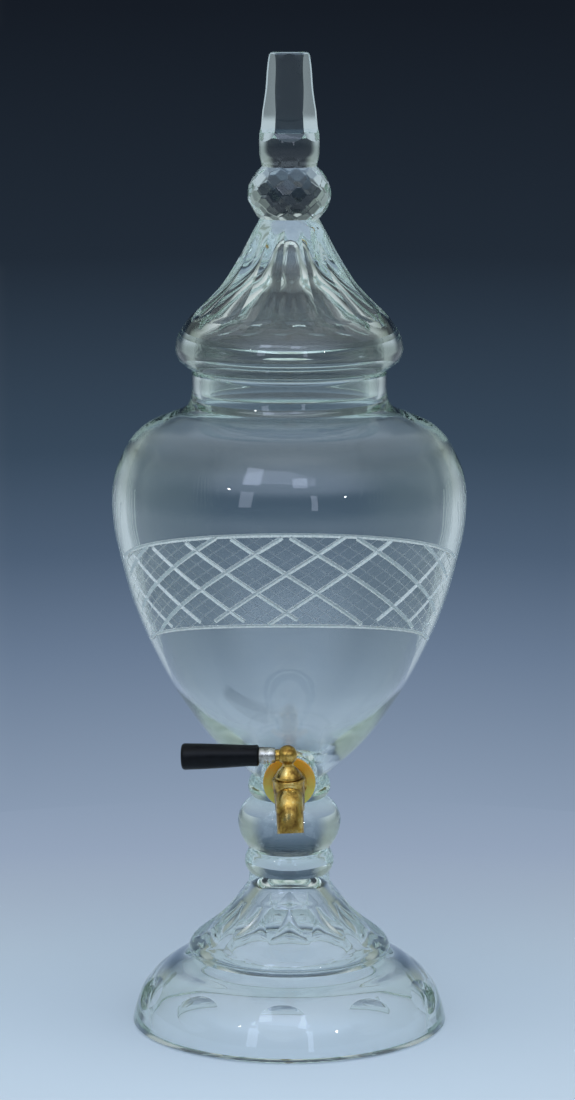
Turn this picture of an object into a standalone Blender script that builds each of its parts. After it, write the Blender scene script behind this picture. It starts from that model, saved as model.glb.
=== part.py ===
# Cut glass spirit dispenser: a footed glass urn with a faceted stopper lid and a brass plug cock.
# Metres, +Z up, the foot stands on Z = 0 at the origin, and the tap looks along -Y.

import math

import bmesh
import bpy
from mathutils import Matrix, Vector

# Clearances and mesh settings
GAP = 0.0003                   # between pieces that touch
OVERRUN = 0.004                # how far a cutter runs past what it cuts
MERGE = 0.00001
ROUND_STEPS = 48               # sides of the large turned glass
SMALL_ROUND_STEPS = 24         # sides of the small turned parts
STEM_STEPS = 32
BOSS_STEPS = 40
FINE_ROUND_STEPS = 16          # sides of rods and drillings
SPOUT_RESOLUTION = 6           # bevel steps of the bent tube
BORE_RESOLUTION = 3
BEND_STEPS = 7
BALL_STEPS = 7                 # rows of the brass ball

# Foot
FOOT_RADIUS = 0.098
FOOT_HEIGHT = 0.043
FOOT_RIM_WIDTH = 0.010         # flat ground ring that it stands on
FOOT_WALL = 0.0085
FOOT_THROAT_RADIUS = 0.044     # the hollow foot opens into the bell here
PUNTY_COUNT = 10               # round thumb cuts on the foot
PUNTY_RADIUS = 0.0138
PUNTY_DEPTH = 0.0028
PUNTY_HEIGHT = 0.0205

BELL_RADIUS = 0.0631
BELL_HEIGHT = 0.0514
BELL_HOLLOW_HEIGHT = 0.007
PETAL_COUNT = 12               # pointed petals ground round the bell
PETAL_COLUMNS = 6              # mesh columns in each petal
PETAL_DEPTH = 0.0028

# Stem
MERESE_RADIUS = 0.0277
MERESE_HEIGHT = 0.0143
KNOP_RADIUS = 0.0317
KNOP_HEIGHT = 0.033

# Bowl
COLLAR_RADIUS = 0.0254
COLLAR_HEIGHT = 0.0141
BOWL_RADIUS = 0.1084
BOWL_HEIGHT = 0.2348
BOWL_WALL = 0.008
SHOULDER_WALL = 0.0045         # glass under the shoulder, upright
NECK_RADIUS = 0.0597
NECK_HEIGHT = 0.0147
NECK_WALL = 0.005
SUMP_RADIUS = 0.017            # narrow bottom of the hollow, inside the collar
SUMP_FLOOR = 0.009             # glass under the sump

# Lid
LID_RADIUS = 0.0693
LID_HEIGHT = 0.0927
LID_FLANGE_DEPTH = 0.0135
LID_FLANGE_WALL = 0.0052
LID_FLANGE_PLAY = 0.0008
FLUTE_COUNT = 14               # hollow petals ground down the lid
FLUTE_SIDES = 3                # facets across each flute
FLUTE_DEPTH = 0.0024

BALL_RADIUS = 0.0254           # as blown, before its facets
BALL_HEIGHT = 0.0315
BALL_FACETS = 11               # facets in each row
SPIRE_RADIUS = 0.0182
SPIRE_HEIGHT = 0.068
SPIRE_SIDES = 6
SPIRE_TIP_FLAT = 0.0118        # from the axis to a flat side at the tip
SPIRE_FOOT_FLAT = 0.0149       # the same where the flat sides run out
SPIRE_RUNOUT_HEIGHT = 0.0245   # where the run-out starts, from the spire's foot
SPIRE_RUNOUT_LENGTH = 0.0103

# Tap: its frame stands on the ground seat, -Y outwards along the shank, Z up the plug
TAP_INSET = 0.0023             # the ground seat lies this far inside the bowl's line at its upper edge
TAP_HEIGHT = 0.0043            # the seat's centre above the collar
TAP_TILT = math.radians(5.0)   # nose down
TAP_LEAN = math.radians(-2.5)  # a tap that was never screwed up quite straight
TAP_GLASS = 0.022              # glass between the outer and the inner seat
BOSS_LIP = 0.0013              # boss outside the seat washer
BOSS_CHAMFER = 0.001
HOLE_PLAY = 0.001
POCKET_PLAY = 0.0012

SEAT_WASHER_RADIUS = 0.0159
SEAT_WASHER_THICKNESS = 0.003
INNER_WASHER_RADIUS = 0.0104
INNER_WASHER_THICKNESS = 0.0025
NUT_WASHER_THICKNESS = 0.0012
NUT_WIDTH = 0.017              # across flats
NUT_THICKNESS = 0.005

SHANK_RADIUS = 0.006
SHANK_TAIL = 0.0035            # shank that stands out of the nut
TAP_BORE_RADIUS = 0.003
FLANGE_RADIUS = 0.01075
FLANGE_THICKNESS = 0.0025
TAP_NECK_RADIUS = 0.0068
BARREL_REACH = 0.0258          # from the seat to the plug's axis
BARREL_TOP_RADIUS = 0.0098
BARREL_FOOT_RADIUS = 0.0088
BARREL_TOP = 0.0105
BARREL_FOOT = 0.0098
BARREL_RIM = 0.0016

SPOUT_TOP_RADIUS = 0.0086
SPOUT_END_RADIUS = 0.0081
SPOUT_BORE_RADIUS = 0.0062
SPOUT_RUN = 0.003              # straight before its bend, from the plug's axis
SPOUT_BEND_RADIUS = 0.011
SPOUT_BEND = math.radians(71.0)
SPOUT_DROP = 0.0118            # straight after its bend

PLUG_TOP_RADIUS = 0.0066
PLUG_FOOT_RADIUS = 0.0054
CAP_RADIUS = 0.00815
CAP_RIM = 0.0018
CAP_HEIGHT = 0.0058
CAP_NECK_RADIUS = 0.0033
BALL_GRIP_RADIUS = 0.006
BALL_GRIP_HEIGHT = 0.025       # centre of the brass ball above the shank's axis
PLUG_WASHER_RADIUS = 0.0066
PLUG_WASHER_THICKNESS = 0.0012
SCREW_HEAD_RADIUS = 0.0042
SCREW_HEAD_HEIGHT = 0.0022
SCREW_RADIUS = 0.0018
SCREW_LENGTH = 0.007
SCREW_SLOT_WIDTH = 0.001
SCREW_SLOT_DEPTH = 0.001

LEVER_REST = math.radians(-5.0)     # how the photographed lever stands off square
LEVER_BOSS_RADIUS = 0.0036
LEVER_BOSS_END = 0.0069        # from the plug's axis
FERRULE_RADIUS = 0.00515
FERRULE_LENGTH = 0.0098
HANDLE_RADIUS = 0.008
HANDLE_LENGTH = 0.0465
HANDLE_ROUND = 0.0018
STUD_RADIUS = 0.0017
STUD_IN_BALL = 0.0035          # depth of its thread in the ball
STUD_IN_HANDLE = 0.028

# Outlines, from the foot of each piece up: share of its height, share of its radius
FOOT_OUTLINE_SHARES = (
    (1.0, 0.615), (0.93, 0.712), (0.84, 0.781), (0.70, 0.855), (0.51, 0.923),
    (0.33, 0.958), (0.14, 0.985), (0.0, 1.0),
)
BELL_OUTLINE_SHARES = (
    (1.0, 0.397), (0.88, 0.404), (0.78, 0.456), (0.69, 0.514), (0.58, 0.582), (0.47, 0.661),
    (0.36, 0.765), (0.29, 0.842), (0.23, 0.905), (0.18, 0.950), (0.10, 0.990), (0.0, 0.975),
)
MERESE_OUTLINE_SHARES = (
    (1.0, 0.90), (0.80, 0.965), (0.50, 1.0), (0.18, 0.955), (0.0, 0.90),
)
KNOP_OUTLINE_SHARES = (
    (1.0, 0.70), (0.945, 0.79), (0.83, 0.902), (0.65, 0.99), (0.48, 1.0),
    (0.27, 0.945), (0.10, 0.85), (0.0, 0.78),
)
COLLAR_OUTLINE_SHARES = ((1.0, 0.90), (0.80, 0.965), (0.50, 1.005), (0.18, 0.975), (0.0, 0.885))
BOWL_OUTLINE_SHARES = (
    (0.738, 1.0), (0.60, 0.962), (0.46, 0.879), (0.32, 0.752), (0.20, 0.602), (0.10, 0.443), (0.034, 0.298),
)
# Shoulder: share of the bowl's height, and share of the way out from the neck to the bowl's radius
SHOULDER_OUTLINE_SHARES = ((0.970, 0.052), (0.952, 0.288), (0.926, 0.568), (0.866, 0.826), (0.805, 0.955))
# Glass thickness up the bowl, level, as shares of the height and of the wall
BOWL_WALL_SHARES = (
    (0.86, 1.0), (0.738, 1.0), (0.60, 1.0), (0.44, 0.96), (0.29, 0.87),
    (0.19, 1.1), (0.11, 1.65), (0.05, 2.0),
)
LID_OUTLINE_SHARES = (
    (1.0, 0.26), (0.92, 0.321), (0.76, 0.435), (0.60, 0.568), (0.52, 0.660), (0.44, 0.765),
    (0.395, 0.828), (0.35, 0.884), (0.285, 0.946), (0.17, 1.0), (0.085, 0.970), (0.02, 0.875), (0.0, 0.84),
)
# Flutes of the lid and petals of the bell, as shares of the piece's height
FLUTE_TOP_SHARE = 0.96
FLUTE_FULL_SHARE = 0.80
FLUTE_END_SHARE = 0.36
FLUTE_ARCH_SHARE = 0.05
PETAL_POINT_SHARE = 0.69
PETAL_WIDEST_SHARE = 0.36
PETAL_END_SHARE = 0.18
PETAL_RIDGE_SHARES = (0.12, 0.97)      # narrowest and widest petal, as shares of its pitch
SUMP_FOOT_SHARES = (0.86, 0.10, 0.60)
LID_HOLLOW_SHARES = (
    (0.833, 0.0), (0.81, 0.085), (0.70, 0.125), (0.63, 0.175), (0.52, 0.346),
    (0.369, 0.592), (0.22, 0.815), (0.15, 0.835), (0.075, 0.78),
)
# Rows of facets: upward tilt in degrees, and distance from the centre as a share of the blown radius
BALL_ROW_SHARES = (
    (-47.0, 0.913), (-29.0, 0.949), (-12.8, 0.976), (2.4, 0.980), (17.6, 0.953), (34.5, 0.902), (52.0, 0.878),
)
SPIRE_OUTLINE_SHARES = (
    (1.0, 0.60), (0.985, 0.68), (0.95, 0.735), (0.80, 0.78), (0.60, 0.84), (0.40, 0.935), (0.26, 0.995),
    (0.15, 1.0), (0.07, 0.98), (0.02, 0.93), (0.0, 0.90),
)
# Handle and ferrule, from their outer end to the plug
HANDLE_OUTLINE_SHARES = ((0.75, 0.97), (0.45, 0.90), (0.15, 0.80), (0.02, 0.806))
FERRULE_OUTLINE_SHARES = (
    (1.0, 0.96), (0.92, 1.0), (0.667, 1.0), (0.583, 0.92), (0.5, 1.0),
    (0.417, 0.92), (0.333, 0.97), (0.083, 0.88), (0.0, 0.80),
)
FLANGE_FACE_SHARE = 0.86

# Heights where the pieces stand on each other
BELL_BASE = FOOT_HEIGHT + GAP
MERESE_BASE = BELL_BASE + BELL_HEIGHT + GAP
KNOP_BASE = MERESE_BASE + MERESE_HEIGHT + GAP
COLLAR_BASE = KNOP_BASE + KNOP_HEIGHT + GAP
BOWL_BASE = COLLAR_BASE + COLLAR_HEIGHT
NECK_BASE = BOWL_BASE + BOWL_HEIGHT
NECK_TOP = NECK_BASE + NECK_HEIGHT
LID_BASE = NECK_TOP + GAP
BALL_BASE = LID_BASE + LID_HEIGHT + GAP
SPIRE_BASE = BALL_BASE + BALL_HEIGHT + GAP

# Tap distances along the shank, outwards from the ground seat
FLANGE_BACK = GAP + SEAT_WASHER_THICKNESS + GAP
INNER_WASHER_FACE = TAP_GLASS + GAP
NUT_WASHER_FACE = INNER_WASHER_FACE + INNER_WASHER_THICKNESS + GAP
NUT_FACE = NUT_WASHER_FACE + NUT_WASHER_THICKNESS + GAP
SHANK_END = NUT_FACE + NUT_THICKNESS + SHANK_TAIL


# Scene, collections and materials
def clear_scene():
    for thing in list(bpy.data.objects):
        bpy.data.objects.remove(thing, do_unlink=True)


def new_collection(name):
    collection = bpy.data.collections.new(name)
    bpy.context.scene.collection.children.link(collection)
    return collection


def material(name, colour, roughness, metallic=0.0, transmission=0.0):
    finish = bpy.data.materials.new(name)
    finish.use_nodes = True
    shader = finish.node_tree.nodes["Principled BSDF"]
    shader.inputs["Base Color"].default_value = (*colour, 1.0)
    shader.inputs["Roughness"].default_value = roughness
    shader.inputs["Metallic"].default_value = metallic
    shader.inputs["Transmission Weight"].default_value = transmission
    finish.diffuse_color = (*colour, 1.0)
    return finish


clear_scene()
PARTS = new_collection("cut_glass_spirit_dispenser")
CUTTERS = new_collection("cutters")


def glass(name):
    return material(name, (0.86, 0.93, 0.90), 0.03, transmission=1.0)


def brass(name):
    return material(name, (0.66, 0.47, 0.17), 0.28, metallic=1.0)


# Making, cutting and placing
def add_object(name, mesh, collection=PARTS):
    piece = bpy.data.objects.new(name, mesh)
    collection.objects.link(piece)
    if collection is CUTTERS:
        piece.hide_render = True
        piece.display_type = "WIRE"
    return piece


def turned(name, profile, steps=SMALL_ROUND_STEPS, closed=False, collection=PARTS):
    """A turned solid: (radius, height) points down its outer side, spun about Z."""
    edges = [(i, i + 1) for i in range(len(profile) - 1)]
    if closed:
        edges.append((len(profile) - 1, 0))
    mesh = bpy.data.meshes.new(name)
    mesh.from_pydata([(radius, 0, height) for radius, height in profile], edges, [])
    piece = add_object(name, mesh, collection)
    screw = piece.modifiers.new("turn", "SCREW")
    screw.steps = steps
    screw.render_steps = steps
    screw.use_merge_vertices = True
    screw.merge_threshold = MERGE
    return piece


def boolean(piece, other, operation="DIFFERENCE"):
    step = piece.modifiers.new(other.name, "BOOLEAN")
    step.operation = operation
    step.solver = "EXACT"
    step.object = other


def settle(piece, finish=None, sharp_angle=math.radians(25.0)):
    """Applies the piece's modifiers and shades it smooth up to its sharp edges."""
    bpy.context.view_layer.update()
    evaluated = piece.evaluated_get(bpy.context.evaluated_depsgraph_get())
    mesh = bpy.data.meshes.new_from_object(evaluated)
    mesh.name = piece.name
    piece.modifiers.clear()
    piece.data = mesh
    mesh.shade_smooth()
    mesh.set_sharp_from_angle(angle=sharp_angle)
    if finish:
        mesh.materials.clear()
        mesh.materials.append(finish)
    return piece


def place(piece, parent=None, location=(0, 0, 0), rotation=(0, 0, 0)):
    piece.parent = parent
    piece.location = location
    piece.rotation_euler = rotation
    return piece


def tube(name, points, radii, bevel_resolution, collection=PARTS):
    """A round bar along the points, made a closed mesh."""
    curve = bpy.data.curves.new(name, "CURVE")
    curve.dimensions = "3D"
    curve.bevel_depth = 1
    curve.bevel_resolution = bevel_resolution
    curve.use_fill_caps = True
    spline = curve.splines.new("POLY")
    spline.points.add(len(points) - 1)
    for knot, point, radius in zip(spline.points, points, radii):
        knot.co = (*point, 1)
        knot.radius = radius
    guide = add_object(name + "_guide", curve, collection)
    bpy.context.view_layer.update()
    evaluated = guide.evaluated_get(bpy.context.evaluated_depsgraph_get())
    mesh = bpy.data.meshes.new_from_object(evaluated)
    cage = bmesh.new()
    cage.from_mesh(mesh)
    bmesh.ops.remove_doubles(cage, verts=cage.verts, dist=MERGE)
    cage.to_mesh(mesh)
    cage.free()
    bar = add_object(name, mesh, collection)
    bar.matrix_world = guide.matrix_world
    bpy.data.objects.remove(guide, do_unlink=True)
    return bar


def built_mesh(name, build, matrix=Matrix.Identity(4)):
    """A mesh from a function that fills a bmesh at a matrix."""
    cage = bmesh.new()
    build(cage, matrix)
    mesh = bpy.data.meshes.new(name)
    cage.to_mesh(mesh)
    cage.free()
    return mesh


def cut_round(piece, name, count, build):
    """Cuts a ring of equal cuts about Z."""
    for index in range(count):
        cutter_name = f"{name}_{index + 1}"
        turn = Matrix.Rotation(math.tau * index / count, 4, "Z")
        boolean(piece, add_object(cutter_name, built_mesh(cutter_name, build, turn), CUTTERS))


# Outlines
def from_shares(shares, radius, height, base):
    return [(radius * across, base + height * up) for up, across in shares]


def arc(centre, radius, start, end, steps):
    """Points of an arc in an outline: angles in degrees, 0 outwards and 90 up."""
    line = []
    for step in range(steps + 1):
        angle = math.radians(start + (end - start) * step / steps)
        line.append((centre[0] + radius * math.cos(angle), centre[1] + radius * math.sin(angle)))
    return line


def radius_at(outline, height):
    """Radius of an outline at a height."""
    points = sorted(outline, key=lambda point: point[1])
    for low, high in zip(points, points[1:]):
        if low[1] <= height <= high[1]:
            share = (height - low[1]) / max(high[1] - low[1], MERGE)
            return low[0] + (high[0] - low[0]) * share
    return points[-1][0] if height > points[-1][1] else points[0][0]


FOOT_OUTLINE = from_shares(FOOT_OUTLINE_SHARES, FOOT_RADIUS, FOOT_HEIGHT, 0)
BELL_OUTLINE = from_shares(BELL_OUTLINE_SHARES, BELL_RADIUS, BELL_HEIGHT, BELL_BASE)
BOWL_OUTLINE = [
    (NECK_RADIUS, NECK_BASE),
    *[(NECK_RADIUS + (BOWL_RADIUS - NECK_RADIUS) * out, BOWL_BASE + BOWL_HEIGHT * up)
      for up, out in SHOULDER_OUTLINE_SHARES],
    *from_shares(BOWL_OUTLINE_SHARES, BOWL_RADIUS, BOWL_HEIGHT, BOWL_BASE),
    (COLLAR_RADIUS * COLLAR_OUTLINE_SHARES[0][1], BOWL_BASE),
]
LID_OUTLINE = from_shares(LID_OUTLINE_SHARES, LID_RADIUS, LID_HEIGHT, LID_BASE)

# The tap's ground seat follows the bowl, from the urn's axis outwards
SEAT_TOP = BOWL_BASE + TAP_HEIGHT + SEAT_WASHER_RADIUS + BOSS_LIP
TAP_REACH = radius_at(BOWL_OUTLINE, SEAT_TOP) - TAP_INSET


# Grinding: a turned surface is hollowed between the ridges of its flutes or petals
def grind_hollows(piece, outline, count, columns, width_at, depth_at):
    """Moves the outer surface in by depth_at(share across, height), 0 in a hollow's middle and 1 at its
    edge. The mesh columns close in on a hollow that is narrower than its pitch, by width_at(height)."""
    edge = 1 - 2 / columns
    for vertex in piece.data.vertices:
        radius = math.hypot(vertex.co.x, vertex.co.y)
        height = vertex.co.z
        if radius < radius_at(outline, height) - GAP:
            continue
        turn = math.atan2(vertex.co.x, -vertex.co.y) * count / math.tau
        across = 2 * (turn - round(turn))
        width = width_at(height)
        if not width:
            continue
        share = min(1.0, abs(across) / edge) if width < 1 else abs(across)
        if width < 1 and abs(across) < 1 - 1 / columns:
            across = math.copysign(share * width, across)
        radius -= depth_at(share, height)
        angle = (round(turn) + across / 2) * math.tau / count
        vertex.co = (radius * math.sin(angle), -radius * math.cos(angle), height)
    piece.data.shade_smooth()
    piece.data.set_sharp_from_angle(angle=math.radians(12.0))


def blend_share(value, start, end):
    """0 at the start, 1 at the end, straight between."""
    return min(1.0, max(0.0, (value - start) / (end - start)))


# Foot: a blown dome, open above into the bell, with round punty cuts
def make_foot_dome():
    rim_inner = FOOT_RADIUS - FOOT_RIM_WIDTH
    crown = FOOT_HEIGHT - FOOT_WALL
    hollow = [(rim_inner, 0)]
    for angle in (20, 42, 66):
        turn = math.radians(angle)
        hollow.append((rim_inner + (FOOT_THROAT_RADIUS - rim_inner) * (1 - math.cos(turn)), crown * math.sin(turn)))
    hollow += [(FOOT_THROAT_RADIUS, crown), (FOOT_THROAT_RADIUS, FOOT_HEIGHT)]
    foot = turned("foot_dome", FOOT_OUTLINE + hollow, ROUND_STEPS, closed=True)
    ball_radius = (PUNTY_RADIUS ** 2 + PUNTY_DEPTH ** 2) / (2 * PUNTY_DEPTH)
    below = radius_at(FOOT_OUTLINE, PUNTY_HEIGHT - PUNTY_DEPTH)
    above = radius_at(FOOT_OUTLINE, PUNTY_HEIGHT + PUNTY_DEPTH)
    slope = math.atan2(below - above, 2 * PUNTY_DEPTH)
    stand = ball_radius - PUNTY_DEPTH
    reach = radius_at(FOOT_OUTLINE, PUNTY_HEIGHT) + stand * math.cos(slope)
    centre = (0, -reach, PUNTY_HEIGHT + stand * math.sin(slope))

    def punty(cage, turn):
        facing = Matrix.Translation(centre) @ Matrix.Rotation(math.pi / 2 - slope, 4, "X")
        bmesh.ops.create_uvsphere(cage, u_segments=14, v_segments=10, radius=ball_radius, matrix=turn @ facing)

    cut_round(foot, "punty", PUNTY_COUNT, punty)
    return settle(foot, glass("foot_glass"))


# Bell: a thick bell on the foot, ground with twelve pointed petals
def make_foot_bell():
    hollow = []
    for angle in (0, 45, 90):
        turn = math.radians(angle)
        hollow.append((FOOT_THROAT_RADIUS * math.cos(turn), BELL_BASE + BELL_HOLLOW_HEIGHT * math.sin(turn)))
    bell = turned("foot_bell", [(0, BELL_BASE + BELL_HEIGHT)] + BELL_OUTLINE + hollow, PETAL_COUNT * PETAL_COLUMNS)
    settle(bell, glass("bell_glass"))

    def width(height):
        share = (height - BELL_BASE) / BELL_HEIGHT
        if share < PETAL_END_SHARE - MERGE or share > PETAL_POINT_SHARE + MERGE:
            return 0
        narrow, wide = PETAL_RIDGE_SHARES
        taper = blend_share(share, PETAL_POINT_SHARE, PETAL_WIDEST_SHARE)
        if share < PETAL_WIDEST_SHARE:
            taper = math.sqrt(1 - blend_share(share, PETAL_WIDEST_SHARE, PETAL_END_SHARE) ** 2)
        return narrow + (wide - narrow) * taper

    def petal(across, height):
        share = (height - BELL_BASE) / BELL_HEIGHT
        if not PETAL_END_SHARE + MERGE < share < PETAL_POINT_SHARE - MERGE:
            return 0
        return PETAL_DEPTH * width(height) * (1 - across ** 2)

    grind_hollows(bell, BELL_OUTLINE, PETAL_COUNT, PETAL_COLUMNS, width, petal)


# Stem: a merese ring under a solid ball knop
def make_stem():
    merese = from_shares(MERESE_OUTLINE_SHARES, MERESE_RADIUS, MERESE_HEIGHT, MERESE_BASE)
    merese_ring = turned("stem_merese", [(0, merese[0][1]), *merese, (0, merese[-1][1])], STEM_STEPS)
    settle(merese_ring, glass("merese_glass"))
    knop = from_shares(KNOP_OUTLINE_SHARES, KNOP_RADIUS, KNOP_HEIGHT, KNOP_BASE)
    settle(turned("stem_knop", [(0, knop[0][1]), *knop, (0, knop[-1][1])], STEM_STEPS), glass("knop_glass"))


# Bowl: blown and cut, with its collar below, its neck above and a fused boss for the tap
def make_bowl(tap_frame):
    neck = [(NECK_RADIUS - GAP, NECK_TOP), (NECK_RADIUS, NECK_TOP - 2 * GAP)]
    collar = from_shares(COLLAR_OUTLINE_SHARES, COLLAR_RADIUS, COLLAR_HEIGHT, COLLAR_BASE)
    outside = [(0, NECK_TOP), *neck, *BOWL_OUTLINE, *collar[1:], (0, COLLAR_BASE)]
    bowl = turned("bowl", outside, ROUND_STEPS)

    boss_radius = SEAT_WASHER_RADIUS + BOSS_LIP
    boss = turned("tap_boss", [
        (0, 0), (boss_radius - BOSS_CHAMFER, 0), (boss_radius, -BOSS_CHAMFER),
        (boss_radius, -TAP_GLASS - BOSS_LIP), (0, -TAP_GLASS - BOSS_LIP),
    ], BOSS_STEPS, collection=CUTTERS)
    place(boss, tap_frame, rotation=(math.pi / 2, 0, 0))
    boolean(bowl, boss, "UNION")

    neck_inner = NECK_RADIUS - NECK_WALL
    wall = [(radius_at(BOWL_OUTLINE, BOWL_BASE + BOWL_HEIGHT * up) - BOWL_WALL * thick, BOWL_BASE + BOWL_HEIGHT * up)
            for up, thick in BOWL_WALL_SHARES]
    under_shoulder = [
        (neck_inner + (BOWL_RADIUS - NECK_RADIUS) * out, BOWL_BASE + BOWL_HEIGHT * up - SHOULDER_WALL)
        for up, out in SHOULDER_OUTLINE_SHARES[:3]]
    sump_floor = COLLAR_BASE + SUMP_FLOOR
    foot_wide, foot_rise, foot_flat = SUMP_FOOT_SHARES
    hollow = [
        (0, NECK_TOP + OVERRUN), (neck_inner, NECK_TOP + OVERRUN), (neck_inner, NECK_BASE - NECK_WALL / 2),
        *under_shoulder, *wall, (SUMP_RADIUS, BOWL_BASE),
        (SUMP_RADIUS * foot_wide, sump_floor + SUMP_RADIUS * foot_rise),
        (SUMP_RADIUS * foot_flat, sump_floor), (0, sump_floor),
    ]
    cavity = turned("bowl_hollow", hollow, ROUND_STEPS, collection=CUTTERS)
    boolean(bowl, cavity)

    pocket_radius = INNER_WASHER_RADIUS + POCKET_PLAY
    hole_radius = SHANK_RADIUS + HOLE_PLAY
    drill = turned("tap_hole", [
        (0, OVERRUN), (hole_radius, OVERRUN), (hole_radius, -TAP_GLASS), (pocket_radius, -TAP_GLASS),
        (pocket_radius, -TAP_REACH), (0, -TAP_REACH),
    ], collection=CUTTERS)
    place(drill, tap_frame, rotation=(math.pi / 2, 0, 0))
    boolean(bowl, drill)
    return settle(bowl, glass("bowl_glass"))


# Lid: a blown cover with a locating flange, ground with hollow flutes
def make_lid(lid_frame):
    flange_outer = NECK_RADIUS - NECK_WALL - LID_FLANGE_PLAY
    flange_inner = flange_outer - LID_FLANGE_WALL
    flange_foot = LID_BASE - LID_FLANGE_DEPTH
    hollow = from_shares(LID_HOLLOW_SHARES, LID_RADIUS, LID_HEIGHT, LID_BASE)
    profile = [
        (0, LID_BASE + LID_HEIGHT), *LID_OUTLINE, (flange_outer, LID_BASE), (flange_outer, flange_foot),
        (flange_inner, flange_foot), (flange_inner, LID_BASE), *reversed(hollow),
    ]
    lid = settle(turned("lid_cover", profile, FLUTE_COUNT * FLUTE_SIDES), glass("lid_glass"))

    def flute(across, height):
        share = (height - LID_BASE) / LID_HEIGHT
        end = FLUTE_END_SHARE + FLUTE_ARCH_SHARE * across ** 2
        depth = FLUTE_DEPTH * blend_share(share, FLUTE_TOP_SHARE, FLUTE_FULL_SHARE) * (1 - across ** 2)
        return depth if share >= end else 0

    grind_hollows(lid, LID_OUTLINE, FLUTE_COUNT, FLUTE_SIDES, lambda height: 1, flute)
    place(lid, lid_frame)


# Finial: a ball and a spire, both ground flat by flat
def make_finial(lid_frame):
    centre = Vector((0, 0, BALL_BASE + BALL_HEIGHT / 2))
    cage = bmesh.new()
    bmesh.ops.create_cone(cage, cap_ends=True, segments=BALL_FACETS, radius1=BALL_RADIUS * 2,
                          radius2=BALL_RADIUS * 2, depth=BALL_HEIGHT, matrix=Matrix.Translation(centre))
    for row, (tilt, inward) in enumerate(BALL_ROW_SHARES):
        for index in range(BALL_FACETS):
            turn = math.tau * (index + 0.5 * (row % 2)) / BALL_FACETS
            rise = math.radians(tilt)
            normal = Vector((math.sin(turn) * math.cos(rise), -math.cos(turn) * math.cos(rise), math.sin(rise)))
            whole = cage.verts[:] + cage.edges[:] + cage.faces[:]
            cut = bmesh.ops.bisect_plane(cage, geom=whole, plane_co=centre + normal * BALL_RADIUS * inward,
                                         plane_no=normal, clear_outer=True)
            rim = [part for part in cut["geom_cut"] if isinstance(part, bmesh.types.BMEdge)]
            if rim:
                bmesh.ops.contextual_create(cage, geom=rim)
    bmesh.ops.recalc_face_normals(cage, faces=cage.faces)
    mesh = bpy.data.meshes.new("finial_ball")
    cage.to_mesh(mesh)
    cage.free()
    ball = add_object("finial_ball", mesh)
    place(settle(ball, glass("ball_glass"), math.radians(5.0)), lid_frame)

    outline = from_shares(SPIRE_OUTLINE_SHARES, SPIRE_RADIUS, SPIRE_HEIGHT, SPIRE_BASE)
    spire = turned("finial_spire", [(0, outline[0][1]), *outline, (0, outline[-1][1])], SMALL_ROUND_STEPS)
    tip = SPIRE_BASE + SPIRE_HEIGHT + OVERRUN
    runout = SPIRE_BASE + SPIRE_RUNOUT_HEIGHT
    far = SPIRE_RADIUS + OVERRUN
    side = [
        (SPIRE_TIP_FLAT, tip), (SPIRE_FOOT_FLAT, runout), (SPIRE_RADIUS, runout - SPIRE_RUNOUT_LENGTH),
        (far, runout - SPIRE_RUNOUT_LENGTH), (far, tip),
    ]
    half_width = SPIRE_TIP_FLAT

    def flat(cage, turn):
        corners = [cage.verts.new(turn @ Vector((-half_width, -radius, height))) for radius, height in side]
        face = cage.faces.new(corners)
        pushed = bmesh.ops.extrude_face_region(cage, geom=[face])
        moved = [part for part in pushed["geom"] if isinstance(part, bmesh.types.BMVert)]
        bmesh.ops.translate(cage, verts=moved, vec=turn.to_3x3() @ Vector((2 * half_width, 0, 0)))
        bmesh.ops.recalc_face_normals(cage, faces=cage.faces)

    cut_round(spire, "spire_flat", SPIRE_SIDES, flat)
    place(settle(spire, glass("spire_glass"), math.radians(15.0)), lid_frame)


# Fixings of the tap: washers and nut on its shank
def make_fixings(tap_frame):
    def ring(name, outer, face, thickness, finish, steps=SMALL_ROUND_STEPS):
        inner = SHANK_RADIUS + GAP
        profile = [(inner, face + thickness), (outer, face + thickness), (outer, face), (inner, face)]
        piece = turned(name, profile, steps, closed=True)
        settle(piece, finish)
        return place(piece, tap_frame, rotation=(math.pi / 2, 0, 0))

    ring("seat_washer", SEAT_WASHER_RADIUS, GAP, SEAT_WASHER_THICKNESS,
         material("amber_rubber", (0.62, 0.38, 0.05), 0.35), 40)
    ring("inner_washer", INNER_WASHER_RADIUS, -INNER_WASHER_FACE - INNER_WASHER_THICKNESS,
         INNER_WASHER_THICKNESS, material("pale_rubber", (0.80, 0.78, 0.52), 0.45))
    ring("nut_washer", INNER_WASHER_RADIUS, -NUT_WASHER_FACE - NUT_WASHER_THICKNESS,
         NUT_WASHER_THICKNESS, brass("washer_brass"))

    corner = NUT_WIDTH / math.sqrt(3)
    cage = bmesh.new()
    bmesh.ops.create_cone(cage, cap_ends=True, segments=6, radius1=corner, radius2=corner, depth=NUT_THICKNESS,
                          matrix=Matrix.Translation((0, 0, -NUT_FACE - NUT_THICKNESS / 2)))
    mesh = bpy.data.meshes.new("lock_nut")
    cage.to_mesh(mesh)
    cage.free()
    nut = add_object("lock_nut", mesh)
    hole = turned("nut_hole", [
        (0, 0), (SHANK_RADIUS + GAP, 0), (SHANK_RADIUS + GAP, -SHANK_END), (0, -SHANK_END),
    ], collection=CUTTERS)
    place(nut, tap_frame, rotation=(math.pi / 2, 0, 0))
    place(hole, tap_frame, rotation=(math.pi / 2, 0, 0))
    boolean(nut, hole)
    settle(nut, brass("nut_brass"))


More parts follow.
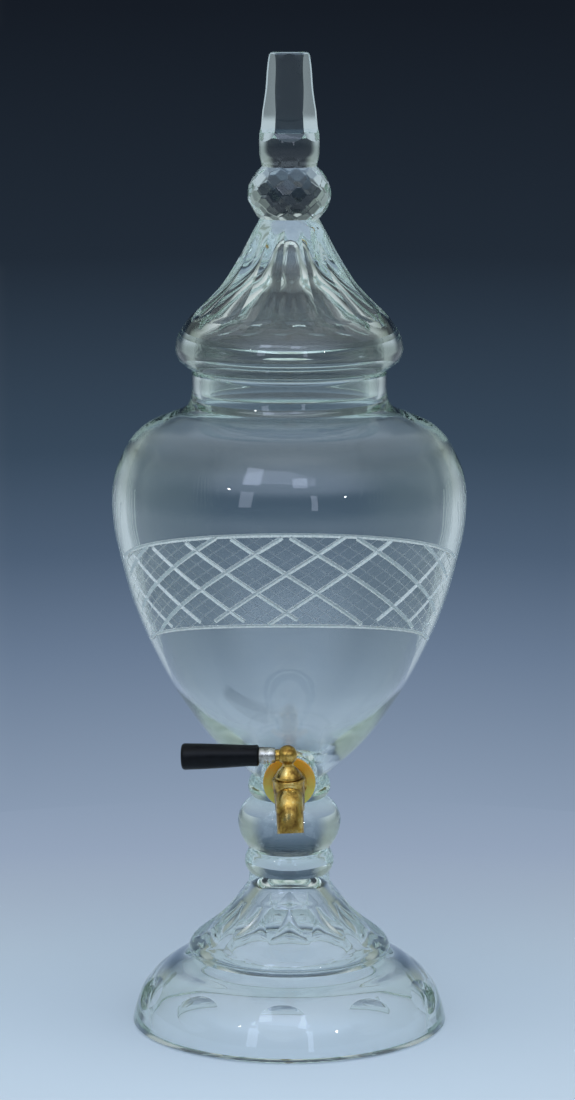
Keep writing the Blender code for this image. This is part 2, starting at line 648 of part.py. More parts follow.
# Tap body: shank, flange and neck turned in one with an upright taper barrel
def make_tap_body(tap_frame):
    flange_face = FLANGE_BACK + FLANGE_THICKNESS
    body = turned("tap_body", [
        (0, BARREL_REACH), (TAP_NECK_RADIUS, BARREL_REACH), (TAP_NECK_RADIUS, flange_face + FLANGE_THICKNESS / 2),
        (FLANGE_RADIUS * FLANGE_FACE_SHARE, flange_face), (FLANGE_RADIUS, flange_face - FLANGE_THICKNESS / 4),
        (FLANGE_RADIUS, FLANGE_BACK), (SHANK_RADIUS, FLANGE_BACK), (SHANK_RADIUS, -SHANK_END + GAP),
        (SHANK_RADIUS - GAP, -SHANK_END), (0, -SHANK_END),
    ])
    place(body, tap_frame, rotation=(math.pi / 2, 0, 0))
    barrel = turned("tap_barrel", [
        (0, BARREL_TOP), (BARREL_TOP_RADIUS - GAP, BARREL_TOP), (BARREL_TOP_RADIUS, BARREL_TOP - GAP),
        (BARREL_TOP_RADIUS, BARREL_TOP - BARREL_RIM), (BARREL_TOP_RADIUS - GAP, BARREL_TOP - BARREL_RIM - GAP),
        (BARREL_FOOT_RADIUS, -BARREL_FOOT), (0, -BARREL_FOOT),
    ], collection=CUTTERS)
    place(barrel, tap_frame, location=(0, -BARREL_REACH, 0))
    boolean(body, barrel, "UNION")
    taper = turned("plug_taper", taper_profile(GAP, OVERRUN), collection=CUTTERS)
    place(taper, tap_frame, location=(0, -BARREL_REACH, 0))
    boolean(body, taper)
    mouth = BARREL_REACH + BARREL_TOP_RADIUS + OVERRUN
    waterway = turned("waterway", [
        (0, mouth), (TAP_BORE_RADIUS, mouth), (TAP_BORE_RADIUS, -SHANK_END - OVERRUN), (0, -SHANK_END - OVERRUN),
    ], FINE_ROUND_STEPS, collection=CUTTERS)
    place(waterway, tap_frame, rotation=(math.pi / 2, 0, 0))
    boolean(body, waterway)
    settle(body, brass("tap_brass"))


def taper_profile(play, overrun):
    """The plug's taper, wider by the play, run on past both ends of the barrel."""
    slope = (PLUG_TOP_RADIUS - PLUG_FOOT_RADIUS) / (BARREL_TOP + BARREL_FOOT)
    top = BARREL_TOP + overrun
    foot = -BARREL_FOOT - overrun
    return [
        (0, top), (PLUG_TOP_RADIUS + slope * overrun + play, top),
        (PLUG_FOOT_RADIUS - slope * overrun + play, foot), (0, foot),
    ]


# Spout: a bent brass tube, brazed to the front of the barrel
def make_spout(tap_frame):
    def route(end_overrun):
        points = [(0, 0, 0)]
        for step in range(BEND_STEPS + 1):
            angle = SPOUT_BEND * step / BEND_STEPS
            points.append((0, -SPOUT_RUN - SPOUT_BEND_RADIUS * math.sin(angle),
                           -SPOUT_BEND_RADIUS * (1 - math.cos(angle))))
        drop = SPOUT_DROP + end_overrun
        points.append((0, points[-1][1] - drop * math.cos(SPOUT_BEND), points[-1][2] - drop * math.sin(SPOUT_BEND)))
        return points

    line = route(0)
    radii = [SPOUT_TOP_RADIUS + (SPOUT_END_RADIUS - SPOUT_TOP_RADIUS) * i / (len(line) - 1) for i in range(len(line))]
    spout = tube("tap_spout", line, radii, SPOUT_RESOLUTION)
    bore = tube("spout_bore", route(OVERRUN), [SPOUT_BORE_RADIUS] * len(line), BORE_RESOLUTION, CUTTERS)
    saddle = turned("spout_saddle", [
        (0, BARREL_TOP + OVERRUN), (BARREL_TOP_RADIUS + GAP, BARREL_TOP + OVERRUN),
        (BARREL_TOP_RADIUS + GAP, BARREL_TOP - BARREL_RIM - GAP),
        (BARREL_FOOT_RADIUS + GAP, -BARREL_FOOT), (BARREL_FOOT_RADIUS + GAP, -BARREL_FOOT - OVERRUN),
        (0, -BARREL_FOOT - OVERRUN),
    ], collection=CUTTERS)
    for piece in (spout, bore, saddle):
        place(piece, tap_frame, location=(0, -BARREL_REACH, 0))
    boolean(spout, bore)
    boolean(spout, saddle)
    settle(spout, brass("spout_brass"))


# Plug: the taper key with its cone cap and ball, turned by the lever
def make_plug(lever_frame):
    cap_foot = BARREL_TOP + GAP
    cone_top = cap_foot + CAP_RIM + CAP_HEIGHT
    ball_foot = BALL_GRIP_HEIGHT - math.sqrt(BALL_GRIP_RADIUS ** 2 - CAP_NECK_RADIUS ** 2)
    ball_start = -math.degrees(math.acos(CAP_NECK_RADIUS / BALL_GRIP_RADIUS))
    ball = arc((0, BALL_GRIP_HEIGHT), BALL_GRIP_RADIUS, 90, ball_start, BALL_STEPS)
    taper = taper_profile(0, 0)
    profile = [
        (0, ball[0][1]), *ball[1:-1], (CAP_NECK_RADIUS, ball_foot), (CAP_NECK_RADIUS, cone_top),
        ((CAP_NECK_RADIUS + CAP_RADIUS) / 2 + CAP_RIM / 4, cone_top - CAP_HEIGHT / 2),
        (CAP_RADIUS - GAP, cone_top - CAP_HEIGHT), (CAP_RADIUS, cap_foot + CAP_RIM - GAP),
        (CAP_RADIUS, cap_foot), (PLUG_TOP_RADIUS, cap_foot), *taper[1:],
    ]
    plug = turned("tap_plug", profile)
    place(plug, lever_frame)
    side = turned("lever_boss", [
        (0, LEVER_BOSS_END), (LEVER_BOSS_RADIUS, LEVER_BOSS_END), (LEVER_BOSS_RADIUS, 0), (0, 0),
    ], BOSS_STEPS // 2, collection=CUTTERS)
    place(side, lever_frame, location=(0, 0, BALL_GRIP_HEIGHT), rotation=(0, -math.pi / 2, 0))
    boolean(plug, side, "UNION")
    socket_start = LEVER_BOSS_END - STUD_IN_BALL - GAP
    socket = turned("stud_socket", [
        (0, LEVER_BOSS_END + OVERRUN), (STUD_RADIUS + GAP, LEVER_BOSS_END + OVERRUN),
        (STUD_RADIUS + GAP, socket_start), (0, socket_start),
    ], FINE_ROUND_STEPS, collection=CUTTERS)
    place(socket, lever_frame, location=(0, 0, BALL_GRIP_HEIGHT), rotation=(0, -math.pi / 2, 0))
    boolean(plug, socket)
    port = turned("plug_port", [
        (0, PLUG_TOP_RADIUS + OVERRUN), (TAP_BORE_RADIUS, PLUG_TOP_RADIUS + OVERRUN),
        (TAP_BORE_RADIUS, -PLUG_TOP_RADIUS - OVERRUN), (0, -PLUG_TOP_RADIUS - OVERRUN),
    ], FINE_ROUND_STEPS, collection=CUTTERS)
    place(port, lever_frame, rotation=(0, math.pi / 2, 0))
    boolean(plug, port)
    screw_top = -BARREL_FOOT + SCREW_LENGTH
    tapping = turned("screw_hole", [
        (0, screw_top + GAP), (SCREW_RADIUS + GAP, screw_top + GAP),
        (SCREW_RADIUS + GAP, -BARREL_FOOT - OVERRUN), (0, -BARREL_FOOT - OVERRUN),
    ], FINE_ROUND_STEPS, collection=CUTTERS)
    place(tapping, lever_frame)
    boolean(plug, tapping)
    settle(plug, brass("plug_brass"))

    washer_top = -BARREL_FOOT - GAP
    washer_foot = washer_top - PLUG_WASHER_THICKNESS
    washer = turned("plug_washer", [
        (SCREW_RADIUS + GAP, washer_top), (PLUG_WASHER_RADIUS, washer_top), (PLUG_WASHER_RADIUS, washer_foot),
        (SCREW_RADIUS + GAP, washer_foot),
    ], closed=True)
    place(settle(washer, brass("plug_washer_brass")), lever_frame)

    head_top = washer_foot - GAP
    head_foot = head_top - SCREW_HEAD_HEIGHT
    screw = turned("plug_screw", [
        (0, screw_top), (SCREW_RADIUS, screw_top), (SCREW_RADIUS, head_top), (SCREW_HEAD_RADIUS, head_top),
        (SCREW_HEAD_RADIUS, head_foot + GAP), (SCREW_HEAD_RADIUS - GAP, head_foot), (0, head_foot),
    ])
    place(screw, lever_frame)
    cage = bmesh.new()
    slot_size = Matrix.Diagonal((2 * SCREW_HEAD_RADIUS + OVERRUN, SCREW_SLOT_WIDTH, 2 * SCREW_SLOT_DEPTH, 1))
    bmesh.ops.create_cube(cage, size=1, matrix=Matrix.Translation((0, 0, head_foot)) @ slot_size)
    mesh = bpy.data.meshes.new("screw_slot")
    cage.to_mesh(mesh)
    cage.free()
    slot = add_object("screw_slot", mesh, CUTTERS)
    place(slot, lever_frame)
    boolean(screw, slot)
    settle(screw, brass("screw_brass"))


# Lever: a stud from the ball, a nickel ferrule and a turned black handle
def make_lever(lever_frame):
    along = {"location": (0, 0, BALL_GRIP_HEIGHT), "rotation": (0, -math.pi / 2, 0)}
    ferrule_start = LEVER_BOSS_END + GAP
    ferrule_end = ferrule_start + FERRULE_LENGTH
    bore = STUD_RADIUS + GAP
    turning = from_shares(FERRULE_OUTLINE_SHARES, FERRULE_RADIUS, FERRULE_LENGTH, ferrule_start)
    ferrule = turned("lever_ferrule", [(bore, ferrule_end), *turning, (bore, ferrule_start)], closed=True)
    place(settle(ferrule, material("nickel", (0.78, 0.77, 0.74), 0.22, metallic=1.0)), lever_frame, **along)

    handle_start = ferrule_end + GAP
    handle_end = handle_start + HANDLE_LENGTH
    stud_end = handle_start + STUD_IN_HANDLE
    turning = from_shares(HANDLE_OUTLINE_SHARES, HANDLE_RADIUS, HANDLE_LENGTH, handle_start)
    end_round = arc((HANDLE_RADIUS - HANDLE_ROUND, handle_end - HANDLE_ROUND), HANDLE_ROUND, 90, 0, 3)
    handle = turned("lever_handle", [
        (0, handle_end), *end_round, *turning, (turning[-1][0] - HANDLE_ROUND / 3, handle_start),
        (bore, handle_start), (bore, stud_end + GAP), (0, stud_end + GAP),
    ])
    place(settle(handle, material("black_resin", (0.012, 0.013, 0.018), 0.3)), lever_frame, **along)

    stud_start = LEVER_BOSS_END - STUD_IN_BALL
    stud = turned("lever_stud", [
        (0, stud_end), (STUD_RADIUS, stud_end), (STUD_RADIUS, stud_start), (0, stud_start),
    ], FINE_ROUND_STEPS)
    place(settle(stud, material("steel", (0.55, 0.55, 0.55), 0.35, metallic=1.0)), lever_frame, **along)


# Frames that carry the tap, its lever and the lid
def make_frame(name, matrix):
    frame = bpy.data.objects.new(name, None)
    PARTS.objects.link(frame)
    frame.matrix_world = matrix
    return frame


tap_seat = Matrix.Translation((0, -TAP_REACH, BOWL_BASE + TAP_HEIGHT))
tap_matrix = tap_seat @ Matrix.Rotation(TAP_TILT, 4, "X") @ Matrix.Rotation(TAP_LEAN, 4, "Y")
lever_matrix = tap_matrix @ Matrix.Translation((0, -BARREL_REACH, 0)) @ Matrix.Rotation(LEVER_REST, 4, "Z")
TAP_FRAME = make_frame("tap_frame", tap_matrix)
LEVER_FRAME = make_frame("lever_frame", lever_matrix)
LID_FRAME = make_frame("lid_frame", Matrix.Identity(4))
bpy.context.view_layer.update()

make_foot_dome()
make_foot_bell()
make_stem()
make_bowl(TAP_FRAME)
make_lid(LID_FRAME)
make_finial(LID_FRAME)
make_fixings(TAP_FRAME)
make_tap_body(TAP_FRAME)
make_spout(TAP_FRAME)
make_plug(LEVER_FRAME)
make_lever(LEVER_FRAME)
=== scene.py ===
import math

import bmesh
import bpy
from mathutils import Matrix, Vector


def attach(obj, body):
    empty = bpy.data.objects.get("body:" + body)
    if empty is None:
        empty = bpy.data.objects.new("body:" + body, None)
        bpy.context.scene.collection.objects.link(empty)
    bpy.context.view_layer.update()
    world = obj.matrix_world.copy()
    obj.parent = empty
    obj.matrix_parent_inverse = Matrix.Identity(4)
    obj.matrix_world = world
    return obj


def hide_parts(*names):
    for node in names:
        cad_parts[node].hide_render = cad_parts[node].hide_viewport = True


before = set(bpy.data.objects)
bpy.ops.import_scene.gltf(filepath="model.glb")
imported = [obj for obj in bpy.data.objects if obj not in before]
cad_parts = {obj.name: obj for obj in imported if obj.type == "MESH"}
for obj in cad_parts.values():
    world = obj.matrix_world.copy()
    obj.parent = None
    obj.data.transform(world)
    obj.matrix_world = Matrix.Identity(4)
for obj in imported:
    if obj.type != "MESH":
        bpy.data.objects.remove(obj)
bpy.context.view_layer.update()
MM = 0.001          # the pieces' sizes are in millimetres, and Blender takes metres


# The studio: a matt paper table that runs out into a painted backdrop, pale blue below and navy above.
# Soft boxes stand on both sides and overhead, and windows and two small lamps in front, for the glass
# and brass to mirror. The room's sizes are in metres.
def colour(hex_code, alpha=1.0):
    """An sRGB hex colour as the linear values that Blender takes."""
    values = []
    for i in (1, 3, 5):
        share = int(hex_code[i:i + 2], 16) / 255
        values.append(share / 12.92 if share <= 0.04045 else ((share + 0.055) / 1.055) ** 2.4)
    return (*values, alpha)


def add_node(tree, kind, settings=None, inputs=None):
    """Adds one node: inputs are values, or (node, output name) pairs that are linked."""
    node = tree.nodes.new(kind)
    for name, value in (settings or {}).items():
        setattr(node, name, value)
    for name, value in (inputs or {}).items():
        if isinstance(value, tuple) and isinstance(value[0], bpy.types.Node):
            tree.links.new(value[0].outputs[value[1]], node.inputs[name])
        else:
            node.inputs[name].default_value = value
    return node


def ramp_stops(ramp, stops):
    """Sets a colour ramp's stops."""
    while len(ramp.elements) > 1:
        ramp.elements.remove(ramp.elements[-1])
    for index, (position, hex_code) in enumerate(stops):
        stop = ramp.elements[0] if index == 0 else ramp.elements.new(position)
        stop.position = position
        stop.color = colour(hex_code)


def along(tree, source, near, far, stops):
    """A colour ramp over a length in metres: each stop is a place and a colour."""
    share = add_node(tree, "ShaderNodeMapRange", inputs={"Value": source, "From Min": near, "From Max": far})
    ramp = add_node(tree, "ShaderNodeValToRGB", inputs={"Fac": (share, "Result")})
    ramp_stops(ramp.color_ramp, [((place - near) / (far - near), hex_code) for place, hex_code in stops])
    return ramp


scene = bpy.context.scene
scene.view_settings.view_transform = "Standard"
# Cut glass passes light on inside by many reflections, which the usual number of bounces leaves black.
scene.cycles.max_bounces = 64
scene.cycles.transmission_bounces = 64
scene.cycles.glossy_bounces = 48

# The room's tone goes by height, from -1 straight down to 1 straight up, from the table's pale blue through
# grey to a pale ceiling. In front it is darker low down, and daylight makes it brighter high up.
world = bpy.data.worlds.new("studio")
scene.world = world
world.use_nodes = True
sky = world.node_tree
sky.nodes.clear()
direction = add_node(sky, "ShaderNodeTexCoord")
split = add_node(sky, "ShaderNodeSeparateXYZ", inputs={"Vector": (direction, "Generated")})
side_tone = along(sky, (split, "Z"), -0.5, 1.0, [
    (-0.5, "#BACAD9"), (-0.16, "#B8C6D0"), (-0.03, "#8E9C9F"), (0.3, "#87948F"), (0.6, "#B4BEC2"),
    (1.0, "#E0E6EA")])
front_tone = along(sky, (split, "Z"), -0.5, 1.0, [
    (-0.5, "#BACAD9"), (-0.14, "#B6C4D2"), (0.0, "#59656F"), (0.22, "#55616E"), (0.36, "#8C98A8"),
    (0.5, "#B4C0D2"), (0.75, "#AAB6C8"), (1.0, "#E0E6EA")])
front = add_node(sky, "ShaderNodeMapRange", {"interpolation_type": "SMOOTHSTEP"}, {
    "Value": (split, "Y"), "From Min": -0.15, "From Max": -0.75})
room_tone = add_node(sky, "ShaderNodeMix", {"data_type": "RGBA"}, {
    0: (front, "Result"), 6: (side_tone, "Color"), 7: (front_tone, "Color")})
above = add_node(sky, "ShaderNodeMapRange", {"interpolation_type": "SMOOTHSTEP"}, {
    "Value": (split, "Z"), "From Min": 0.25, "From Max": 0.5, "To Min": 0.0, "To Max": 1.5})
daylight = add_node(sky, "ShaderNodeMath", {"operation": "MULTIPLY_ADD"}, {
    0: (above, "Result"), 1: (front, "Result"), 2: 1.0})
room = add_node(sky, "ShaderNodeBackground", inputs={"Strength": (daylight, "Value")})
sky.links.new(room_tone.outputs[2], room.inputs["Color"])
add_node(sky, "ShaderNodeOutputWorld", inputs={"Surface": (room, "Background")})

# The table: a round sheet of matt paper. Its tone is painted darker farther back, painted shade, and farther
# out the paper glows by that tone instead of taking the lamps' light, so that it runs into the backdrop.
# Under the foot a lighter disc is painted on the paper, a painted pool of light, which the foot's glass
# shows.
table_radius = 0.66
table_below = 0.0004          # just under the foot, so that glass and paper don't share a surface
bpy.ops.object.select_all(action="DESELECT")
bpy.ops.mesh.primitive_circle_add(vertices=128, radius=table_radius, fill_type="NGON",
                                  location=(0, 0, -table_below))
table = bpy.context.object
table.name = "table"
bpy.ops.object.transform_apply(location=True)
table_finish = bpy.data.materials.new("matt_paper_table")
table_finish.use_nodes = True
tree = table_finish.node_tree
tree.nodes.clear()
place_on = add_node(tree, "ShaderNodeTexCoord")
split = add_node(tree, "ShaderNodeSeparateXYZ", inputs={"Vector": (place_on, "Object")})
from_middle = add_node(tree, "ShaderNodeVectorMath", {"operation": "LENGTH"}, {0: (place_on, "Object")})
fade = add_node(tree, "ShaderNodeMapRange", {"interpolation_type": "SMOOTHSTEP"}, {
    "Value": (from_middle, "Value"), "From Min": 0.16, "From Max": 0.42})
# Painted shade: the paper's tone darkens farther back.
tone = along(tree, (split, "Y"), -0.2, 0.7, [
    (-0.2, "#BACAD9"), (0.16, "#A9B9C9"), (0.43, "#94A4BB"), (0.6, "#8A9BB2"), (0.7, "#8A9BB2")])
# A painted pool of light: the paper is painted lighter under the foot, which the foot's glass shows.
painted_light_share = add_node(tree, "ShaderNodeMapRange", {"interpolation_type": "SMOOTHSTEP"}, {
    "Value": (from_middle, "Value"), "From Min": 0.082, "From Max": 0.096, "To Min": 0.7, "To Max": 0.0})
paper_with_painted_light = add_node(tree, "ShaderNodeMix", {"data_type": "RGBA"}, {
    0: (painted_light_share, "Result"), 6: (tone, "Color"), 7: colour("#D8E6F8")})
paper = add_node(tree, "ShaderNodeBsdfDiffuse")
tree.links.new(paper_with_painted_light.outputs[2], paper.inputs["Color"])
# Farther out the paper glows by the painted tone instead of taking the lamps' light.
glowing_far_paper = add_node(tree, "ShaderNodeEmission", inputs={"Color": (tone, "Color"), "Strength": 1.0})
both = add_node(tree, "ShaderNodeMixShader", inputs={
    0: (fade, "Result"), 1: (paper, "BSDF"), 2: (glowing_far_paper, "Emission")})
add_node(tree, "ShaderNodeOutputMaterial", inputs={"Surface": (both, "Shader")})
table.data.materials.append(table_finish)

# The backdrop: a painted sheet that curves round behind the urn, navy above, and is seen from its front
# alone. It fades out at its top and to both sides, and is a little wider at the height of lid and spire.
backdrop_radius = 0.6
backdrop_height = 1.1
backdrop_sunk = 0.01
backdrop_sweep = math.radians(136)
bpy.ops.object.select_all(action="DESELECT")
bpy.ops.mesh.primitive_grid_add(x_subdivisions=40, y_subdivisions=2, size=1.0, location=(0, 0, 0))
backdrop = bpy.context.object
backdrop.name = "backdrop"
for vertex in backdrop.data.vertices:
    turn = vertex.co.x * backdrop_sweep
    vertex.co = (backdrop_radius * math.sin(turn), backdrop_radius * math.cos(turn),
                 backdrop_height * (vertex.co.y + 0.5) - backdrop_sunk)
backdrop_finish = bpy.data.materials.new("painted_backdrop")
backdrop_finish.use_nodes = True
tree = backdrop_finish.node_tree
tree.nodes.clear()
place_on = add_node(tree, "ShaderNodeTexCoord")
split = add_node(tree, "ShaderNodeSeparateXYZ", inputs={"Vector": (place_on, "Object")})
tone = along(tree, (split, "Z"), 0.0, 1.1, [
    (0.0, "#8A9BB2"), (0.12, "#697B93"), (0.2, "#4D5F75"), (0.28, "#38495B"), (0.43, "#222C38"),
    (0.62, "#161C25"), (1.1, "#161C25")])
painted = add_node(tree, "ShaderNodeEmission", inputs={"Color": (tone, "Color"), "Strength": 1.0})
clear = add_node(tree, "ShaderNodeBsdfTransparent")
sideways = add_node(tree, "ShaderNodeMath", {"operation": "ABSOLUTE"}, {0: (split, "X")})
wider = add_node(tree, "ShaderNodeMapRange", {"interpolation_type": "SMOOTHSTEP"}, {
    "Value": (split, "Z"), "From Min": 0.42, "From Max": 0.48, "To Min": 0.0, "To Max": 0.10})
narrower = add_node(tree, "ShaderNodeMapRange", {"interpolation_type": "SMOOTHSTEP"}, {
    "Value": (split, "Z"), "From Min": 0.54, "From Max": 0.61, "To Min": 0.0, "To Max": 0.10})
wing = add_node(tree, "ShaderNodeMath", {"operation": "SUBTRACT"}, {
    0: (wider, "Result"), 1: (narrower, "Result")})
across = add_node(tree, "ShaderNodeMath", {"operation": "SUBTRACT"}, {
    0: (sideways, "Value"), 1: (wing, "Value")})
ends = add_node(tree, "ShaderNodeMapRange", {"interpolation_type": "SMOOTHSTEP"}, {
    "Value": (across, "Value"), "From Min": 0.21, "From Max": 0.38})
upwards = add_node(tree, "ShaderNodeMapRange", {"interpolation_type": "SMOOTHSTEP"}, {
    "Value": (split, "Z"), "From Min": 0.70, "From Max": 0.95})
side = add_node(tree, "ShaderNodeNewGeometry")
gone = add_node(tree, "ShaderNodeMath", {"operation": "MAXIMUM"}, {
    0: (ends, "Result"), 1: (upwards, "Result")})
hidden = add_node(tree, "ShaderNodeMath", {"operation": "MAXIMUM"}, {
    0: (gone, "Value"), 1: (side, "Backfacing")})
both = add_node(tree, "ShaderNodeMixShader", inputs={
    0: (hidden, "Value"), 1: (painted, "Emission"), 2: (clear, "BSDF")})
add_node(tree, "ShaderNodeOutputMaterial", inputs={"Surface": (both, "Shader")})
backdrop.data.materials.append(backdrop_finish)

urn_middle = Vector((0, 0, 0.3))


def soft_box(name, location, size, watts, tint, mirrored=True):
    """A rectangular soft box that faces the urn's middle and stays out of the camera's own view."""
    bpy.ops.object.select_all(action="DESELECT")
    bpy.ops.object.light_add(type="AREA", location=location)
    lamp = bpy.context.object
    lamp.name = name
    lamp.data.shape = "RECTANGLE"
    lamp.data.size, lamp.data.size_y = size
    lamp.data.energy = watts
    lamp.data.color = colour(tint)[:3]
    lamp.rotation_euler = (urn_middle - Vector(location)).to_track_quat("-Z", "Y").to_euler()
    lamp.visible_camera = False
    lamp.visible_transmission = False
    lamp.visible_glossy = mirrored


# Name, place, size, watts and tint. The urn mirrors the windows, panes and bulbs, but not the soft boxes.
soft_box("left_box", (-1.9, -0.3, 0.8), (1.6, 2.2), 12, "#FFFFFF", False)
soft_box("right_box", (1.9, -0.3, 0.8), (1.6, 2.2), 10, "#FFFFFF", False)
soft_box("top_box", (0.0, -0.2, 2.2), (2.0, 1.6), 16, "#FFF4E2", False)
soft_box("window_row", (-0.3, -2.1, 2.25), (2.2, 0.35), 3.6, "#D4E2FF")
soft_box("window_left", (-1.0, -1.9, 2.2), (0.5, 0.5), 2.6, "#D4E2FF")
soft_box("window_right", (0.3, -2.2, 2.1), (0.42, 0.42), 1.8, "#D4E2FF")
soft_box("pane_left", (-0.95, -1.8, 0.95), (0.30, 0.75), 1.9, "#DCE8FF")
soft_box("pane_right", (0.6, -2.1, 0.85), (0.16, 0.7), 1.0, "#DCE8FF")
soft_box("bulb_left", (-1.7, -1.9, 1.75), (0.08, 0.08), 1.2, "#FFFFFF")
soft_box("bulb_right", (1.5, -2.0, 1.15), (0.07, 0.07), 0.8, "#FFFFFF")

# The camera stands 2.2 m in front and looks down by 9.25 degrees, as the photo was taken.
looks_down = 9.25
bpy.ops.object.camera_add(location=(-0.0011, -2.2, 0.655), rotation=(math.radians(90 - looks_down), 0, 0))
camera = bpy.context.object
camera.name = "camera"
camera.data.sensor_width = 36
camera.data.lens = 118.9
scene.camera = camera


# The urn's glass: foot, bell, stem, bowl, collar and neck are one piece once they are fused hot.
# Clear soda lime glass, blown and tooled, then cut with stone wheels and polished.
def draw_line(name, points):
    """Draws a line by hand: one vertex, extruded from point to point."""
    bpy.ops.object.select_all(action="DESELECT")
    bpy.ops.mesh.primitive_plane_add(size=1.0, location=(0, 0, 0))
    drawn = bpy.context.object
    drawn.name = name
    drawn.data.name = name
    bpy.ops.object.mode_set(mode="EDIT")
    bpy.ops.mesh.select_all(action="SELECT")
    bpy.ops.mesh.merge(type="CENTER")
    bpy.ops.transform.translate(value=points[0])
    for start, end in zip(points, points[1:]):
        step = [e - s for s, e in zip(start, end)]
        bpy.ops.mesh.extrude_region_move(TRANSFORM_OT_translate={"value": step})
    return drawn


def turn_round(name, outline, steps):
    """Spins a half outline of (radius, height) in millimetres round Z, and ends in object mode."""
    piece = draw_line(name, [(radius * MM, 0, height * MM) for radius, height in outline])
    bpy.ops.mesh.select_all(action="SELECT")
    bpy.ops.mesh.spin(steps=steps, angle=math.tau, center=(0, 0, 0), axis=(0, 0, 1))
    bpy.ops.mesh.select_all(action="SELECT")
    bpy.ops.mesh.remove_doubles(threshold=0.00001)
    bpy.ops.mesh.normals_make_consistent(inside=False)
    bpy.ops.object.mode_set(mode="OBJECT")
    return piece


def eased(points, step=2.0):
    """A smooth line through the points, with a new one about every step millimetres."""
    ends = [points[0], *points, points[-1]]
    line = []
    for before, start, end, after in zip(ends, ends[1:], ends[2:], ends[3:]):
        count = max(1, round(math.dist(start, end) / step))
        for i in range(count):
            t = i / count
            line.append(tuple(
                0.5 * (2 * b + (c - a) * t + (2 * a - 5 * b + 4 * c - d) * t * t
                       + (3 * b - a - 3 * c + d) * t ** 3)
                for a, b, c, d in zip(before, start, end, after)))
    line.append(points[-1])
    return line


def radius_at(run, height):
    """The radius of an outline that runs downward at a height, or None above and below it."""
    for (upper, high), (lower, low) in zip(run, run[1:]):
        if low <= height <= high:
            return lower + (upper - lower) * (height - low) / (high - low)
    return None


def shells(shape):
    """The vertices of each closed shell of a mesh, the largest shell first."""
    seen, found = set(), []
    for vertex in shape.verts:
        if vertex in seen:
            continue
        seen.add(vertex)
        shell = [vertex]
        for member in shell:
            for edge in member.link_edges:
                other = edge.other_vert(member)
                if other not in seen:
                    seen.add(other)
                    shell.append(other)
        found.append(shell)
    return sorted(found, key=len, reverse=True)


def measure(piece):
    """A mesh's volume, and how many of its edges don't join just two faces."""
    shape = bmesh.new()
    shape.from_mesh(piece.data)
    held = shape.calc_volume()
    faults = sum(1 for edge in shape.edges if not edge.is_manifold)
    shape.free()
    return held, faults


def clear_chips(piece):
    """Leaves the largest shell alone: what else is there are chips that the cuts set free."""
    shape = bmesh.new()
    shape.from_mesh(piece.data)
    chips = [vertex for shell in shells(shape)[1:] for vertex in shell]
    bmesh.ops.delete(shape, geom=chips, context="VERTS")
    shape.to_mesh(piece.data)
    shape.free()


nudges = (0.0, 0.011, -0.013, 0.019, -0.023)     # how far the tool is moved aside at each try, in mm
spare_faults = 8                                 # new faults with which a try is good enough
least_change = 1e-12                             # in cubic metres
spare_change = 1e-9                              # beyond what the tool holds, in cubic metres


def cut(piece, tool, operation="DIFFERENCE"):
    """Cuts or joins with a Boolean, and throws the tool away. The glass can change by no more than the tool
    holds, and few of its edges may become faulty. Where that fails, the Boolean is made again with the tool
    a hair to one side, and the best of the tries is kept, or the glass as it was."""
    before, faults_before = measure(piece)
    tool_holds = abs(measure(tool)[0])
    whole = piece.data.copy()
    best, fewest = whole, None
    for aside in nudges:
        tool.location = (aside * MM, 0.7 * aside * MM, -aside * MM)
        bpy.ops.object.select_all(action="DESELECT")
        bpy.context.view_layer.objects.active = piece
        piece.select_set(True)
        step = piece.modifiers.new("cut", "BOOLEAN")
        step.operation = operation
        step.solver = "EXACT"
        step.material_mode = "TRANSFER"
        step.object = tool
        bpy.ops.object.modifier_apply(modifier="cut")
        after, faults = measure(piece)
        change = before - after if operation == "DIFFERENCE" else after - before
        fits = least_change < change < 1.01 * tool_holds + spare_change
        if fits and (fewest is None or faults < fewest):
            best, fewest = piece.data, faults
            if faults <= faults_before + spare_faults:
                break
        piece.data = whole.copy()
    piece.data = best
    bpy.data.objects.remove(tool, do_unlink=True)


def smooth(piece, degrees=20.0):
    """Shades a piece smooth, but for the edges that are sharper than an angle."""
    bpy.ops.object.select_all(action="DESELECT")
    bpy.context.view_layer.objects.active = piece
    piece.select_set(True)
    bpy.ops.object.shade_smooth_by_angle(angle=math.radians(degrees))


def set_in(piece, matrix):
    """Places a piece and applies the place to its mesh."""
    bpy.ops.object.select_all(action="DESELECT")
    bpy.context.view_layer.objects.active = piece
    piece.select_set(True)
    piece.matrix_world = matrix
    bpy.ops.object.transform_apply(location=True, rotation=True, scale=True)


# The cut band's measures, for its hatching here and its grooves below. Heights are in millimetres and turns
# in degrees from the front. Its two borders are arched: each sags towards its ends.
band_high, band_low = 323.0, 267.0
high_sag, low_sag = 27.0, 22.0
border_end, band_end = 76, 72
mitre_first, mitre_pitch = -121, 20
slant_turn, slant_drop = 10.0, 12.0          # a mitre groove turns by this much over this height
hatch_lines = 3                              # to one pitch of the mitre grooves
hatch_half = 0.05                            # half a line's width as a share of its pitch, 0.7 mm in all
hatch_gap = 0.5                              # between the hatching and the borders' middles
skin_slope, skin_start = 0.25, 23.75         # a cone that runs inside the bowl's wall, all along the band

glass_green = "#D6E8DC"
glass_depth = 5.0


